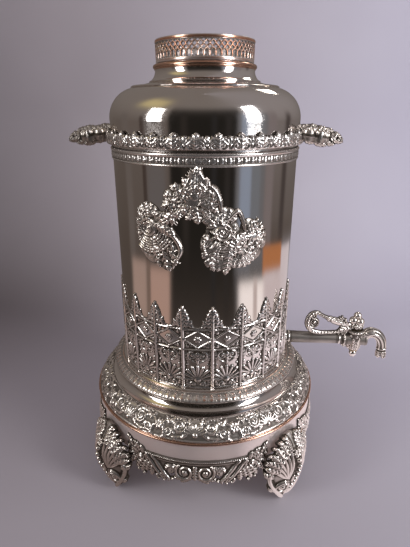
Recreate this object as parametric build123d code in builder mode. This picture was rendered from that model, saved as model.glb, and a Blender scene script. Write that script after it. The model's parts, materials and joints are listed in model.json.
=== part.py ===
"""A silver-plated samovar with a central fire tube, a lift-off cover, a pierced crown and one tap.

Millimetres, +Z up. The origin is on the vessel's axis at floor level. The tap points along +X and the
front of the vessel, with its cartouche, faces -Y.
"""

from math import cos, radians, sin
import os

from build123d import *

os.makedirs("parts", exist_ok=True)

# Vessel
BODY_R = 95.0
WALL = 1.5
BASE_TOP = 119.5
BODY_TOP = 370.0
BOTTOM_H = 124.0
TUBE_R = 30.0
TUBE_TOP = 425.0
RIM_R = 96.3
RIM_LOW = 362.0
RIM_TOP = 373.6

# Base
SKIRT_R = 131.0
SKIRT_LOW = 66.0
FLANGE_R = 78.0
COLLAR_R = 110.0
COLLAR_TOP = 137.3
PLATE_R = 100.0
PLATE_T = 2.0
ASH_R = 45.0
ASH_DEPTH = 30.0
BOLT_CIRCLE = 84.0
APRON_IN = 131.2
APRON_STRIP = (59.0, 75.2)
FOOT_TURNS = {"foot_front_right": -45, "foot_back_right": 45, "foot_back_left": 135, "foot_front_left": 225}
FOOT_REACH = 133.0
SCREW_H = 80.0

# Arcade border round the vessel's foot
BAYS = 20
ARCADE_LOW = COLLAR_TOP
LOWER_BAR = 183.0
UPPER_BAR = 205.5
FINIAL_TOP = 230.5
ARCADE_LAYERS = (95.2, 97.2, 98.4)

# Cover and crown
DOME_R = 96.0
DOME_LOW = 378.8
NECK_R = 49.2
NECK_TOP = 443.2
BEAD_R = 50.8
BORDER_LEAVES = 36
PAD_R = 100.7
CROWN_R = 47.6
CROWN_LOW = 448.5
CROWN_TOP = 469.0
FLOOR_H = 449.0
FLOOR_T = 1.5
FLUE_HOLE_R = 31.5
GALLERY_SLOTS = 56

# Tap
TAP_H = 149.5
TAP_X = 181.0
BARREL = (136.5, 163.5)
TUBE_BORE = 4.0
LEVER_TURN = 8.0
LIP_R = 10.4
RUNNING = 0.05
FIT = 0.1


def spin(*runs, mode=Mode.ADD, arc=360.0):
    """Turn an outline of (radius, height) runs about the axis: a list of three is an arc."""
    with BuildSketch(Plane.XZ) as outline:
        with BuildLine():
            for run in runs:
                if isinstance(run, list):
                    ThreePointArc(*run)
                else:
                    Polyline(*run)
            if runs[-1][-1] != runs[0][0]:
                Line(runs[-1][-1], runs[0][0])
        make_face()
    revolve(outline.sketch, axis=Axis.Z, revolution_arc=arc, mode=mode)


def spin_polygon(*points, mode=Mode.ADD, arc=360.0):
    """Turn a closed polygon of (radius, height) points about the axis."""
    spin((*points, points[0]), mode=mode, arc=arc)


def tube(r_in, r_out, low, high, mode=Mode.ADD):
    """Add a plain ring between two heights."""
    spin_polygon((r_in, low), (r_out, low), (r_out, high), (r_in, high), mode=mode)


def radial_plane(angle, height=0.0, radius=0.0):
    """A plane facing outward at an angle from +X; its x runs along the wall and its y runs up."""
    a = radians(angle)
    return Plane(
        origin=(radius * cos(a), radius * sin(a), height),
        x_dir=(-sin(a), cos(a), 0),
        z_dir=(cos(a), sin(a), 0),
    )


def run_of(form, count, step):
    """Join copies of a sector, each turned a step further, half a run at a time."""
    if count == 1:
        return form
    half = run_of(form, count // 2, step)
    with BuildPart() as joined:
        add(half)
        add(half, rotation=(0, 0, step * (count // 2)))
        if count % 2:
            add(form, rotation=(0, 0, step * (count - 1)))
    return joined.part


def save(piece, label):
    piece.part.label = label
    export_step(piece.part, f"parts/{label}.step")


# Base shell: a spun dome with a flange on top, a cove, a bulged zone, an edge and a plain skirt wall.
with BuildPart() as base_shell:
    inner = SKIRT_R - WALL
    spin(
        ((FLANGE_R, BASE_TOP), (103.5, BASE_TOP)),
        [(103.5, BASE_TOP), (107.0, 116.2), (112.6, 114.6)],
        [(112.6, 114.6), (123.8, 107.4), (130.2, 96.6)],
        ((130.2, 96.6), (SKIRT_R, 94.6), (SKIRT_R, SKIRT_LOW), (inner, SKIRT_LOW)),
        ((inner, SKIRT_LOW), (inner, 94.0), (128.6, 96.2)),
        [(128.6, 96.2), (122.5, 106.4), (112.2, 113.1)],
        [(112.2, 113.1), (106.0, 114.7), (102.6, 118.0)],
        ((102.6, 118.0), (FLANGE_R, 118.0), (FLANGE_R, BASE_TOP)),
    )
    for turn in FOOT_TURNS.values():
        with BuildSketch(radial_plane(turn, SCREW_H, SKIRT_R - 4)) as screw_hole:
            Circle(2.0 + FIT)
        extrude(screw_hole.sketch, amount=8, mode=Mode.SUBTRACT)
    with BuildSketch(Plane.XY.offset(110)) as bolt_holes:
        with PolarLocations(BOLT_CIRCLE, 4, start_angle=45):
            Circle(2.5 + FIT)
    extrude(bolt_holes.sketch, amount=20, mode=Mode.SUBTRACT)
save(base_shell, "base_shell")

# Collar: wire bead, flared leaf band and a pale fillet.
with BuildPart() as base_collar:
    spin(
        ((BODY_R + FIT, BASE_TOP), (104.6, BASE_TOP)),
        [(104.6, BASE_TOP), (105.4, 124.0), (108.8, 127.6)],
        [(108.8, 127.6), (COLLAR_R, 129.2), (109.2, 131.0)],
        [(109.2, 131.0), (104.6, 134.2), (99.4, 135.0)],
        [(99.4, 135.0), (99.8, 136.4), (98.6, COLLAR_TOP)],
        ((98.6, COLLAR_TOP), (BODY_R + FIT, COLLAR_TOP), (BODY_R + FIT, BASE_TOP)),
    )
save(base_collar, "base_collar")

# Edge wire: the half-round wire on the base's widest edge.
with BuildPart() as base_edge_wire:
    spin(
        [(130.4, 96.5), (132.0, 96.9), (132.2, 95.3)],
        ((132.2, 95.3), (132.2, 94.2), (SKIRT_R, 94.0), (SKIRT_R, 94.6), (130.4, 96.5)),
    )
save(base_edge_wire, "base_edge_wire")

# Tie plate under the flange, with the draught hole and the bolt holes.
plate_top = BASE_TOP - 1.5
with BuildPart() as base_plate:
    with BuildSketch(Plane.XY.offset(plate_top - PLATE_T)):
        Circle(PLATE_R)
        Circle(TUBE_R - 4, mode=Mode.SUBTRACT)
        with PolarLocations(BOLT_CIRCLE, 4, start_angle=45):
            Circle(2.5 + FIT, mode=Mode.SUBTRACT)
    extrude(amount=PLATE_T)
save(base_plate, "base_plate")

# Four bolts with nuts hold the plate to the flange.
with BuildPart() as base_bolts:
    with BuildSketch(Plane.XY.offset(plate_top - PLATE_T - 6)):
        with PolarLocations(BOLT_CIRCLE, 4, start_angle=45):
            Circle(2.5)
    extrude(amount=BASE_TOP - plate_top + PLATE_T + 6)
    with BuildSketch(Plane.XY.offset(BASE_TOP)):
        with PolarLocations(BOLT_CIRCLE, 4, start_angle=45):
            Circle(4.0)
    extrude(amount=2.6)
    with BuildSketch(Plane.XY.offset(plate_top - PLATE_T - 4)):
        with PolarLocations(BOLT_CIRCLE, 4, start_angle=45):
            RegularPolygon(4.6, 6)
    extrude(amount=4)
save(base_bolts, "base_bolts")

# Ash box: a cup under the tie plate, with air holes round its wall.
ash_top = plate_top - PLATE_T
with BuildPart() as ash_box:
    tube(ASH_R - WALL, ASH_R, ash_top - ASH_DEPTH, ash_top)
    tube(0, ASH_R, ash_top - ASH_DEPTH, ash_top - ASH_DEPTH + WALL)
    for turn in range(0, 180, 45):
        with BuildSketch(radial_plane(turn, ash_top - ASH_DEPTH / 2, -ASH_R - 5)) as air_hole:
            Circle(5.0)
        extrude(air_hole.sketch, amount=2 * ASH_R + 10, mode=Mode.SUBTRACT)
save(ash_box, "ash_box")


def lobe(along, height, wide, tall, tilt=0.0, radius=BODY_R):
    """Draw one oval lobe of a border, foreshortened as the round wall turns away from the middle."""
    with Locations((radius * sin(along / radius), height)):
        Ellipse(wide * cos(along / radius), tall, rotation=tilt)


# Apron: one cast span between two feet, hung under the skirt. Scrolls, slanted bars and leaf lobes.
SCROLL = (11.0, 60.0, 10.4, 6.6)
BARS = ((46.5, 60.5), (39.5, 57.5))
LEAF_LOBES = ((57.0, 52.0, 7.5, 8.5), (66.5, 55.5, 6.0, 7.0), (50.5, 60.0, 5.5, 5.5), (60.5, 61.5, 8.0, 6.0))
SPAN_ARC = 62.0
strip_low, strip_high = APRON_STRIP
with BuildPart() as apron_ring:
    spin_polygon(
        (APRON_IN, 40), (134.4, 40), (135.4, 55), (134.8, 62), (133.2, 63), (133.2, 70), (134.6, 71),
        (134.6, 74.4), (133.6, strip_high), (APRON_IN, strip_high), arc=SPAN_ARC,
    )
with BuildPart() as apron_form:
    with BuildSketch(radial_plane(-90, 0, 90)) as apron_face:
        with Locations((0, (strip_low + strip_high) / 2)):
            Rectangle(2 * FOOT_REACH, strip_high - strip_low)
        for side in (-1, 1):
            lobe(side * SCROLL[0], SCROLL[1], SCROLL[2], SCROLL[2], radius=FOOT_REACH)
            lobe(side * 24.5, 62.0, 4.6, 4.4, radius=FOOT_REACH)
            lobe(side * 33.0, 49.5, 3.6, 3.6, radius=FOOT_REACH)
            for along, height in BARS:
                with Locations((side * along, height)):
                    Rectangle(3.0, 26.0, rotation=-side * 38)
            for along, height, wide, tall in LEAF_LOBES:
                lobe(side * along, height, wide, tall, tilt=side * 20, radius=FOOT_REACH)
        lobe(0, 53.5, 3.4, 4.0, radius=FOOT_REACH)
        for side in (-1, 1):
            with Locations((side * SCROLL[0], SCROLL[1] - 2.5)):
                SlotOverall(2 * SCROLL[3], SCROLL[3], rotation=90, mode=Mode.SUBTRACT)
            lobe(side * (SCROLL[0] - 4.4), SCROLL[1] - 3.0, 3.4, 2.6, radius=FOOT_REACH)
    extrude(apron_face.sketch, amount=60)
    add(apron_ring.part, rotation=(0, 0, -90 - SPAN_ARC / 2), mode=Mode.INTERSECT)
for label, turn in {"apron_front": 0, "apron_right": 90, "apron_back": 180, "apron_left": 270}.items():
    with BuildPart() as apron:
        add(apron_form.part, rotation=(0, 0, turn))
    save(apron, label)

# Foot: a fan-shaped scroll bracket that bulges out and ends in a rolled toe.
TOE_R = 11.5
TOE_H = 11.0
FOOT_BEADS = ((18, 14.5, 134.0), (28, 19.5, 134.5), (39, 23.5, 138.5), (51, 26.5, 141.0), (64, 28.5, 141.0))
with BuildPart() as foot_form:
    with BuildSketch(Plane.XZ) as foot_side:
        with BuildLine():
            Line((SKIRT_R - 0.5, 88), (SKIRT_R - 0.5, SKIRT_LOW - 1))
            ThreePointArc((SKIRT_R - 0.5, SKIRT_LOW - 1), (124.5, 50.0), (123.0, 30.0))
            Line((123.0, 30.0), (123.0, 8.0))
            Line((123.0, 8.0), (142.0, 8.0))
            ThreePointArc((142.0, 8.0), (134.6, 22.0), (136.5, 32.0))
            ThreePointArc((136.5, 32.0), (144.4, 60.0), (137.0, 84.0))
            ThreePointArc((137.0, 84.0), (134.4, 87.4), (SKIRT_R - 0.5, 88))
        make_face()
    extrude(foot_side.sketch, amount=40, both=True)
    with BuildSketch(Plane.XZ) as toe_side:
        with Locations((FOOT_REACH, TOE_H)):
            Circle(TOE_R)
    extrude(toe_side.sketch, amount=8.5, both=True)
    with BuildSketch(radial_plane(0, 0, 100)) as fan:
        with BuildLine():
            Polyline((-6.5, 0), (6.5, 0), (11.5, 11))
            ThreePointArc((11.5, 11), (21.0, 32.0), (28.4, 61))
            ThreePointArc((28.4, 61), (31.0, 74.0), (28.0, 84))
            ThreePointArc((28.0, 84), (14.0, 86.0), (0, 91))
            ThreePointArc((0, 91), (-14.0, 86.0), (-28.0, 84))
            ThreePointArc((-28.0, 84), (-31.0, 74.0), (-28.4, 61))
            ThreePointArc((-28.4, 61), (-21.0, 32.0), (-11.5, 11))
            Line((-11.5, 11), (-6.5, 0))
        make_face()
    extrude(fan.sketch, amount=60, mode=Mode.INTERSECT)
    tube(0, SKIRT_R + FIT, SKIRT_LOW - 0.5, 100, mode=Mode.SUBTRACT)
    with BuildSketch(radial_plane(0, SCREW_H, SKIRT_R - 2)) as thread_hole:
        Circle(2.0)
    extrude(thread_hole.sketch, amount=6.5, mode=Mode.SUBTRACT)
    for side in (-1, 1):
        with Locations((FOOT_REACH, side * 8.5, TOE_H)):
            Sphere(4.2)
        for height, across, out in FOOT_BEADS:
            with Locations((out, side * across, height)):
                Sphere(3.0)
for label, turn in FOOT_TURNS.items():
    with BuildPart() as foot:
        add(foot_form.part, rotation=(0, 0, turn))
    save(foot, label)

with BuildPart() as foot_screws:
    for turn in FOOT_TURNS.values():
        with BuildSketch(radial_plane(turn, SCREW_H, SKIRT_R - WALL)) as shank:
            Circle(2.0)
        extrude(shank.sketch, amount=5.5)
        with BuildSketch(radial_plane(turn, SCREW_H, SKIRT_R - WALL - 0.2)) as head:
            Circle(4.0)
        extrude(head.sketch, amount=-2.4)
        with BuildSketch(radial_plane(turn, SCREW_H, SKIRT_R - WALL - 0.3)) as neck:
            Circle(2.0)
        extrude(neck.sketch, amount=0.5)
save(foot_screws, "foot_screws")

# Vessel: the cylinder with the tap's hole, its bottom and its mouth.
tap_plane = radial_plane(0, TAP_H, 80)
with BuildPart() as body_shell:
    tube(BODY_R - WALL, BODY_R, BASE_TOP, BODY_TOP)
    with BuildSketch(tap_plane) as tap_hole:
        Circle(7.0 + FIT)
    extrude(tap_hole.sketch, amount=30, mode=Mode.SUBTRACT)
save(body_shell, "body_shell")

with BuildPart() as vessel_bottom:
    tube(TUBE_R + FIT, BODY_R - WALL - FIT, BOTTOM_H, BOTTOM_H + 2)
save(vessel_bottom, "vessel_bottom")

with BuildPart() as fire_tube:
    spin_polygon(
        (TUBE_R - WALL, plate_top), (TUBE_R, plate_top), (TUBE_R, TUBE_TOP),
        (TUBE_R - WALL, TUBE_TOP), (TUBE_R - WALL, 128), (TUBE_R - 4, 128), (TUBE_R - 4, 126),
        (TUBE_R - WALL, 126),
    )
save(fire_tube, "fire_tube")

with BuildPart() as fire_grate:
    with BuildSketch(Plane.XY.offset(128)):
        Circle(TUBE_R - WALL - 0.3)
        with GridLocations(7.5, 1, 6, 1):
            SlotOverall(34, 4.0, rotation=90, mode=Mode.SUBTRACT)
    extrude(amount=3)
save(fire_grate, "fire_grate")

with BuildPart() as rim_band:
    spin(
        ((BODY_R + FIT, RIM_LOW), (RIM_R - 0.5, RIM_LOW), (RIM_R, RIM_LOW + 0.6), (RIM_R, 370.2)),
        [(RIM_R, 370.2), (96.9, 372.2), (95.2, RIM_TOP)],
        ((95.2, RIM_TOP), (BODY_R - WALL + FIT, RIM_TOP), (BODY_R - WALL + FIT, BODY_TOP)),
        ((BODY_R - WALL + FIT, BODY_TOP), (BODY_R + FIT, BODY_TOP), (BODY_R + FIT, RIM_LOW)),
    )
save(rim_band, "rim_band")

# Arcade border: an openwork band with ribs that end in finials, soldered to the vessel. One bay is
# drawn and repeated: an arched opening over a fan leaf, and a lozenge between two bars above it.
BAY = 360.0 / BAYS
ARCH = ((0, 166.5), (6, 164.8), (10.5, 160.8), (12.6, 155.5), (12.6, 177.0), (9.5, 180.6), (5.5, 177.0),
        (0, 180.8))
CORNER = ((12.6, 185.0), (12.6, 192.6), (2.6, 185.0))
mid_bar = (LOWER_BAR + UPPER_BAR) / 2
low_r, mid_r, high_r = ARCADE_LAYERS
with BuildPart() as arcade_windows:
    with BuildSketch(radial_plane(0, 0, BODY_R - 10)) as windows:
        with BuildLine():
            Polyline(*ARCH, *[(-x, height) for x, height in reversed(ARCH[1:-1])], ARCH[0])
        make_face()
        for side in (-1, 1):
            for rise in (-1, 1):
                corner = [(side * x, mid_bar + rise * (height - mid_bar)) for x, height in CORNER]
                with BuildLine():
                    Polyline(*corner, corner[0])
                make_face()
    extrude(windows.sketch, amount=20)

RIB_SCROLLS = ((3.6, 218.0, 2.2, 4.6, 28), (6.6, 211.5, 3.4, 4.4, 20))
with BuildPart() as arcade_rib:
    with BuildSketch(radial_plane(0, 0, BODY_R - 10)) as rib:
        with Locations((0, (ARCADE_LOW + 215) / 2 + 0.2)):
            Rectangle(3.4, 215 - ARCADE_LOW)
        with Locations((0, 222.5)):
            Ellipse(3.0, FINIAL_TOP - 222.5)
        for across, height, wide, tall, tilt in RIB_SCROLLS:
            for hand in (-1, 1):
                with Locations((hand * across, height)):
                    Ellipse(wide, tall, rotation=hand * tilt)
        with Locations((0, 208.4)):
            Rectangle(11, 4.6)
    extrude(rib.sketch, amount=20)
    tube(low_r + FIT, high_r, 130, 235, mode=Mode.INTERSECT)

with BuildPart() as arcade_border:
    tube(low_r, mid_r, ARCADE_LOW, UPPER_BAR + 1)
    with PolarLocations(0, BAYS, start_angle=-90):
        add(arcade_windows.part, mode=Mode.SUBTRACT)
    with PolarLocations(0, BAYS, start_angle=-90 - BAY / 2):
        add(arcade_rib.part)
    with BuildSketch(tap_plane) as flange_gap:
        Circle(9.8)
    extrude(flange_gap.sketch, amount=30, mode=Mode.SUBTRACT)
save(arcade_border, "arcade_border")

# Cartouche: a leaf on top, a crest, and two scrolled clusters that hang left and right of an open middle.
CREST = ((0, 357, 5.5, 8), (0, 346, 8.5, 9), (-9, 338, 8, 9), (9, 337, 8, 9), (15.5, 345, 3.5, 8),
         (-16, 341, 7, 7), (-20, 331, 7, 8), (-8, 326, 11, 8), (6, 324, 10, 8), (15, 329, 6, 8))
LEFT_CLUSTER = ((-48, 322, 9, 7), (-38, 324, 6, 6), (-55, 313, 6, 8), (-34, 313, 9, 7), (-24, 310, 7, 5),
                (-56, 297, 6, 10), (-43, 293, 15, 14), (-27, 293, 12, 12), (-17, 288, 6, 11),
                (-47, 278, 12, 10), (-31, 276, 12, 9), (-23, 270, 6, 8))
RIGHT_CLUSTER = ((14, 319, 9, 6), (25, 322, 8, 7), (32, 315, 6, 9), (22.5, 304, 12, 12), (12, 294, 7, 9),
                 (27, 289, 15, 13), (43, 298, 9, 13), (56, 298, 10, 11), (64, 291, 6, 9), (45, 282, 12, 11),
                 (30, 272, 14, 9), (16, 277, 6, 8), (24, 265, 5, 5))
VOLUTES = ((-46.0, 305.0), (22.5, 304.0))


with BuildPart() as cartouche_form:
    with BuildSketch(radial_plane(-90, 0, 50)) as lobes:
        for along, height, wide, tall in CREST + LEFT_CLUSTER + RIGHT_CLUSTER:
            lobe(along, height, wide, tall)
    extrude(lobes.sketch, amount=60)
    with BuildPart(mode=Mode.PRIVATE) as lobe_ring:
        spin_polygon((BODY_R + FIT, 250), (98.4, 250), (98.4, 358), (96.8, 361.6), (BODY_R + FIT, 361.6))
    add(lobe_ring.part, mode=Mode.INTERSECT)
with BuildPart() as volutes:
    with BuildSketch(radial_plane(-90, 0, 50)) as volute_face:
        for along, height in VOLUTES:
            lobe(along, height, 8.8, 8.8)
        for along, height in VOLUTES:
            with Locations((BODY_R * sin(along / BODY_R), height)):
                Ellipse(5.6 * cos(along / BODY_R), 5.6, mode=Mode.SUBTRACT)
            lobe(along, height, 2.8, 2.8)
    extrude(volute_face.sketch, amount=60)
    tube(97.0, 100.4, 250, 361, mode=Mode.INTERSECT)
for label, turn in (("cartouche_front", 0), ("cartouche_back", 180)):
    with BuildPart() as applied:
        add(cartouche_form.part, rotation=(0, 0, turn))
        add(volutes.part, rotation=(0, 0, turn))
    save(applied, label)

# Cover: the domed shoulder and concave neck.
with BuildPart() as lid_dome:
    spin(
        ((DOME_R, DOME_LOW), (DOME_R, 397.0)),
        [(DOME_R, 397.0), (92.3, 413.0), (75.0, 426.6)],
        [(75.0, 426.6), (73.2, 426.9), (73.9, 427.9)],
        ((73.9, 427.9), (72.2, 429.0), (61.0, 430.4), (54.8, 432.0)),
        [(54.8, 432.0), (55.2, 432.8), (54.0, 433.5)],
        [(54.0, 433.5), (50.4, 437.6), (NECK_R, NECK_TOP)],
        ((NECK_R, NECK_TOP), (NECK_R - 1.4, NECK_TOP)),
        [(NECK_R - 1.4, NECK_TOP), (49.0, 436.8), (53.4, 431.4)],
        [(53.4, 431.4), (60.6, 428.9), (74.2, 425.2)],
        [(74.2, 425.2), (91.1, 412.0), (DOME_R - WALL, 397.0)],
        ((DOME_R - WALL, 397.0), (DOME_R - WALL, DOME_LOW), (DOME_R, DOME_LOW)),
    )
save(lid_dome, "lid_dome")

flange_r = BODY_R - WALL - 0.7
with BuildPart() as lid_flange:
    spin_polygon(
        (flange_r - 1.8, 364), (flange_r, 364), (flange_r, 374), (94.6, 374), (94.6, 375.4), (93.4, 376.0),
        (93.4, DOME_LOW), (DOME_R - WALL - FIT, DOME_LOW), (DOME_R - WALL - FIT, 386), (92.6, 386),
        (92.6, 379.6), (flange_r - 1.8, 377.0),
    )
save(lid_flange, "lid_flange")

with BuildPart() as neck_bead:
    spin(
        ((46.2, NECK_TOP), (49.7, NECK_TOP), (49.9, 444.2)),
        [(49.9, 444.2), (BEAD_R + 0.3, 446.1), (49.4, 448.0)],
        ((49.4, 448.0), (46.2, 448.0), (46.2, NECK_TOP)),
    )
save(neck_bead, "neck_bead")

# Leaf border: upright leaves over a ring of small scrolls, with a plain pad at each handle.
LEAF_ARC = 360.0 / BORDER_LEAVES
PAD_LEAVES = 5
half_leaf = (DOME_R + 2) * radians(LEAF_ARC) / 2
with BuildPart() as leaf_sector:
    with BuildSketch(radial_plane(LEAF_ARC / 2, 0, DOME_R - 10)) as leaf:
        with Locations((0, 380.4)):
            Rectangle(2 * half_leaf + 2, 5.2)
        with Locations((0, 384.0)):
            Ellipse(4.6, 6.2)
        for side in (-1, 1):
            with Locations((side * half_leaf, 381.6)):
                Circle(4.2)
    extrude(leaf.sketch, amount=20)
    with BuildPart(mode=Mode.PRIVATE) as leaf_ring:
        spin(
            ((DOME_R + FIT, 376.6), (98.6, 376.6)),
            [(98.6, 376.6), (100.6, 382.0), (97.4, 390.6)],
            ((97.4, 390.6), (DOME_R + FIT, 390.6)),
            arc=LEAF_ARC,
        )
    add(leaf_ring.part, mode=Mode.INTERSECT)
with BuildPart() as handle_pad:
    spin(
        ((DOME_R + FIT, 377.8), (98.6, 377.8)),
        [(98.6, 377.8), (PAD_R, 382.0), (98.8, 391.0)],
        ((98.8, 391.0), (DOME_R + FIT, 391.0)),
        arc=PAD_LEAVES * LEAF_ARC,
    )
leaf_run = run_of(leaf_sector.part, BORDER_LEAVES // 2 - PAD_LEAVES, LEAF_ARC)
pad_half = PAD_LEAVES * LEAF_ARC / 2
with BuildPart() as half_border:
    add(handle_pad.part, rotation=(0, 0, -pad_half))
    add(leaf_run, rotation=(0, 0, pad_half))
with BuildPart() as leaf_border:
    add(run_of(half_border.part, 2, 180))
save(leaf_border, "leaf_border")

# Handles: an open scroll loop each side, sloping down towards its tip, with beads along it.
SLOPE = radians(7.0)
handle_plane = Plane(
    origin=(DOME_R - 1, 0, 385.0),
    x_dir=(cos(SLOPE), 0, -sin(SLOPE)),
    z_dir=(sin(SLOPE), 0, cos(SLOPE)),
)
HANDLE_TALL = 13.0
HANDLE_OUTER = ((-2, 32.0), (17, 33.4), (30, 24.5), (37.6, 13.5), (37.6, 0))
HANDLE_INNER = ((-2, 23.6), (15.5, 25.2), (29.6, 12.8), (29.6, 0))
HANDLE_LOBES = ((7, 31.5, 5.4), (16, 31.5, 4.6), (24.5, 27.0, 4.2), (31.5, 20.0, 4.0), (35.8, 10.0, 3.8),
                (36.2, 0, 4.2))
with BuildPart() as handle_form:
    with BuildSketch(handle_plane) as scroll:
        for corners, mode in ((HANDLE_OUTER, Mode.ADD), (HANDLE_INNER, Mode.SUBTRACT)):
            with BuildLine():
                Polyline(*corners, *[(out, -across) for out, across in reversed(corners[:-1])], corners[0])
            make_face(mode=mode)
        for out, across, size in HANDLE_LOBES:
            for side in (-1, 1):
                with Locations((out, side * across)):
                    Circle(size)
    extrude(scroll.sketch, amount=HANDLE_TALL / 2, both=True)
    tube(0, PAD_R + 0.4, 360, 400, mode=Mode.SUBTRACT)
for label, turn in (("handle_right", 0), ("handle_left", 180)):
    with BuildPart() as handle:
        add(handle_form.part, rotation=(0, 0, turn))
    save(handle, label)

# Crown: the pierced gallery, one sector repeated round the ring.
SECTOR = 360.0 / GALLERY_SLOTS
slot_half = 1.05 * CROWN_R / 47
with BuildPart() as gallery_sector:
    spin_polygon(
        (CROWN_R - 1.2, CROWN_LOW), (CROWN_R - 0.2, CROWN_LOW), (CROWN_R + 0.3, 467.2),
        (CROWN_R - 0.7, 467.2), arc=SECTOR,
    )
    with BuildSketch(radial_plane(SECTOR / 2, 0, 40)) as openings:
        with Locations((0, 455.4)):
            SlotOverall(5.6, 2 * slot_half, rotation=90)
        with Locations((0, 461.0)):
            RegularPolygon(1.45, 4)
    extrude(openings.sketch, amount=12, mode=Mode.SUBTRACT)
    for turn in (0, SECTOR):
        with BuildSketch(radial_plane(turn, 464.0, 40)) as diamond:
            RegularPolygon(1.45, 4)
        extrude(diamond.sketch, amount=12, mode=Mode.SUBTRACT)
with BuildPart() as gallery_ring:
    with PolarLocations(0, GALLERY_SLOTS):
        add(gallery_sector.part)
    spin(
        ((CROWN_R - 1.2, 467.2), (CROWN_R + 0.5, 467.2)),
        [(CROWN_R + 0.5, 467.2), (CROWN_R + 1.1, 468.2), (CROWN_R - 0.3, CROWN_TOP)],
        [(CROWN_R - 0.3, CROWN_TOP), (CROWN_R - 1.5, 468.2), (CROWN_R - 1.2, 467.2)],
    )
save(gallery_ring, "gallery_ring")

floor_r = CROWN_R - 1.2 - FIT
with BuildPart() as crown_floor:
    spin_polygon(
        (FLUE_HOLE_R, FLOOR_H), (44.4, FLOOR_H), (44.4, 441.5), (45.8, 441.5), (45.8, FLOOR_H),
        (floor_r, FLOOR_H), (floor_r, FLOOR_H + FLOOR_T), (FLUE_HOLE_R, FLOOR_H + FLOOR_T),
    )
    with BuildSketch(Plane.XY.offset(FLOOR_H)) as vents:
        with PolarLocations(38.2, 16):
            Circle(2.0)
    extrude(vents.sketch, amount=FLOOR_T, mode=Mode.SUBTRACT)
save(crown_floor, "crown_floor")

# Flue cap: rests on the fire tube and lifts out through the crown's middle hole.
cap_low = TUBE_TOP + 0.3
cap_in = TUBE_R - WALL - 2
with BuildPart() as flue_cap:
    spin(
        ((0, cap_low + 3.4), (7.0, cap_low + 3.4), (cap_in, cap_low + 0.4), (cap_in, cap_low - 6),
         (cap_in + 1.6, cap_low - 6), (cap_in + 1.6, cap_low), (TUBE_R + 0.8, cap_low),
         (TUBE_R + 0.8, cap_low + 1.2)),
        [(TUBE_R + 0.8, cap_low + 1.2), (18, cap_low + 3.9), (7.0, cap_low + 4.9)],
        ((7.0, cap_low + 4.9), (0, cap_low + 4.9)),
    )
save(flue_cap, "flue_cap")

knob_low = cap_low + 4.9
with BuildPart() as flue_knob:
    spin(
        ((0, knob_low), (4.0, knob_low), (2.2, knob_low + 2.0), (3.4, knob_low + 3.4)),
        [(3.4, knob_low + 3.4), (4.6, knob_low + 5.6), (2.6, knob_low + 7.8)],
        ((2.6, knob_low + 7.8), (1.2, knob_low + 8.2), (0, knob_low + 8.2)),
    )
save(flue_knob, "flue_knob")


def along_x(r, start, end, mode=Mode.ADD, r_end=None):
    """Add a round bar, or a taper, along the tap's axis."""
    with BuildSketch(radial_plane(0, TAP_H, start)) as near:
        Circle(r)
    if r_end is None:
        extrude(near.sketch, amount=end - start, mode=mode)
    else:
        with BuildSketch(radial_plane(0, TAP_H, end)) as far:
            Circle(r_end)
        loft(Sketch() + near.sketch.faces() + far.sketch.faces(), mode=mode)


# Tap tube: a threaded end through the wall, then a tapering tube.
barrel_root = TAP_X - 14
with BuildPart() as tap_tube:
    along_x(7.0, 80, 98)
    along_x(7.5, 98, barrel_root, r_end=6.4)
    along_x(TUBE_BORE, 79, barrel_root + 1, mode=Mode.SUBTRACT)
save(tap_tube, "tap_tube")

with BuildPart() as tap_flange:
    along_x(9.6, 93, 99.6)
    along_x(7.5 + FIT, 92, 100, mode=Mode.SUBTRACT)
    tube(0, BODY_R + FIT, TAP_H - 20, TAP_H + 20, mode=Mode.SUBTRACT)
save(tap_flange, "tap_flange")

with BuildPart() as tap_washer:
    along_x(11.0, 90.6, 92.6)
    along_x(7.0 + FIT, 90, 93, mode=Mode.SUBTRACT)
save(tap_washer, "tap_washer")

with BuildPart() as tap_locknut:
    with BuildSketch(radial_plane(0, TAP_H, 84.4)) as hexagon:
        RegularPolygon(12.0, 6)
    extrude(hexagon.sketch, amount=6.0)
    along_x(7.0 + FIT, 84, 91, mode=Mode.SUBTRACT)
save(tap_locknut, "tap_locknut")


def plug_r(height):
    """The tapered plug's radius at a height."""
    return 4.1 + (height - BARREL[0]) * 0.078


def on_valve(profile, mode=Mode.ADD):
    """Turn a closed (radius, height) outline about the tap's upright axis."""
    with BuildSketch(Plane(origin=(TAP_X, 0, 0), x_dir=(1, 0, 0), z_dir=(0, -1, 0))) as outline:
        with BuildLine():
            Polyline(*profile, profile[0])
        make_face()
    revolve(outline.sketch, axis=Axis((TAP_X, 0, 0), (0, 0, 1)), mode=mode)


low, high = BARREL
with BuildPart() as tap_body:
    on_valve(((0, low), (5.6, low), (7.4, 144), (8.8, 157), (9.4, 161.5), (8.6, high), (0, high)))
    along_x(7.4, barrel_root, TAP_X + 11)
    for out, height, size in ((-11.5, 142.0, 4.2), (-7.5, 139.6, 3.4), (-15.0, 144.5, 2.8)):
        with Locations((TAP_X + out, 0, height)):
            Sphere(size)
    with Locations((TAP_X - 11, -6.5, TAP_H + 2.0), (TAP_X - 11, 6.5, TAP_H + 2.0)):
        Sphere(2.6)
    along_x(3.0, barrel_root - 1, TAP_X + 12, mode=Mode.SUBTRACT)
    along_x(6.6, barrel_root - 10, barrel_root + FIT, mode=Mode.SUBTRACT)
    below, above = low - 1, high + 1
    bore = ((0, below), (plug_r(below) + RUNNING, below), (plug_r(above) + RUNNING, above), (0, above))
    on_valve(bore, mode=Mode.SUBTRACT)
save(tap_body, "tap_body")

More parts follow.
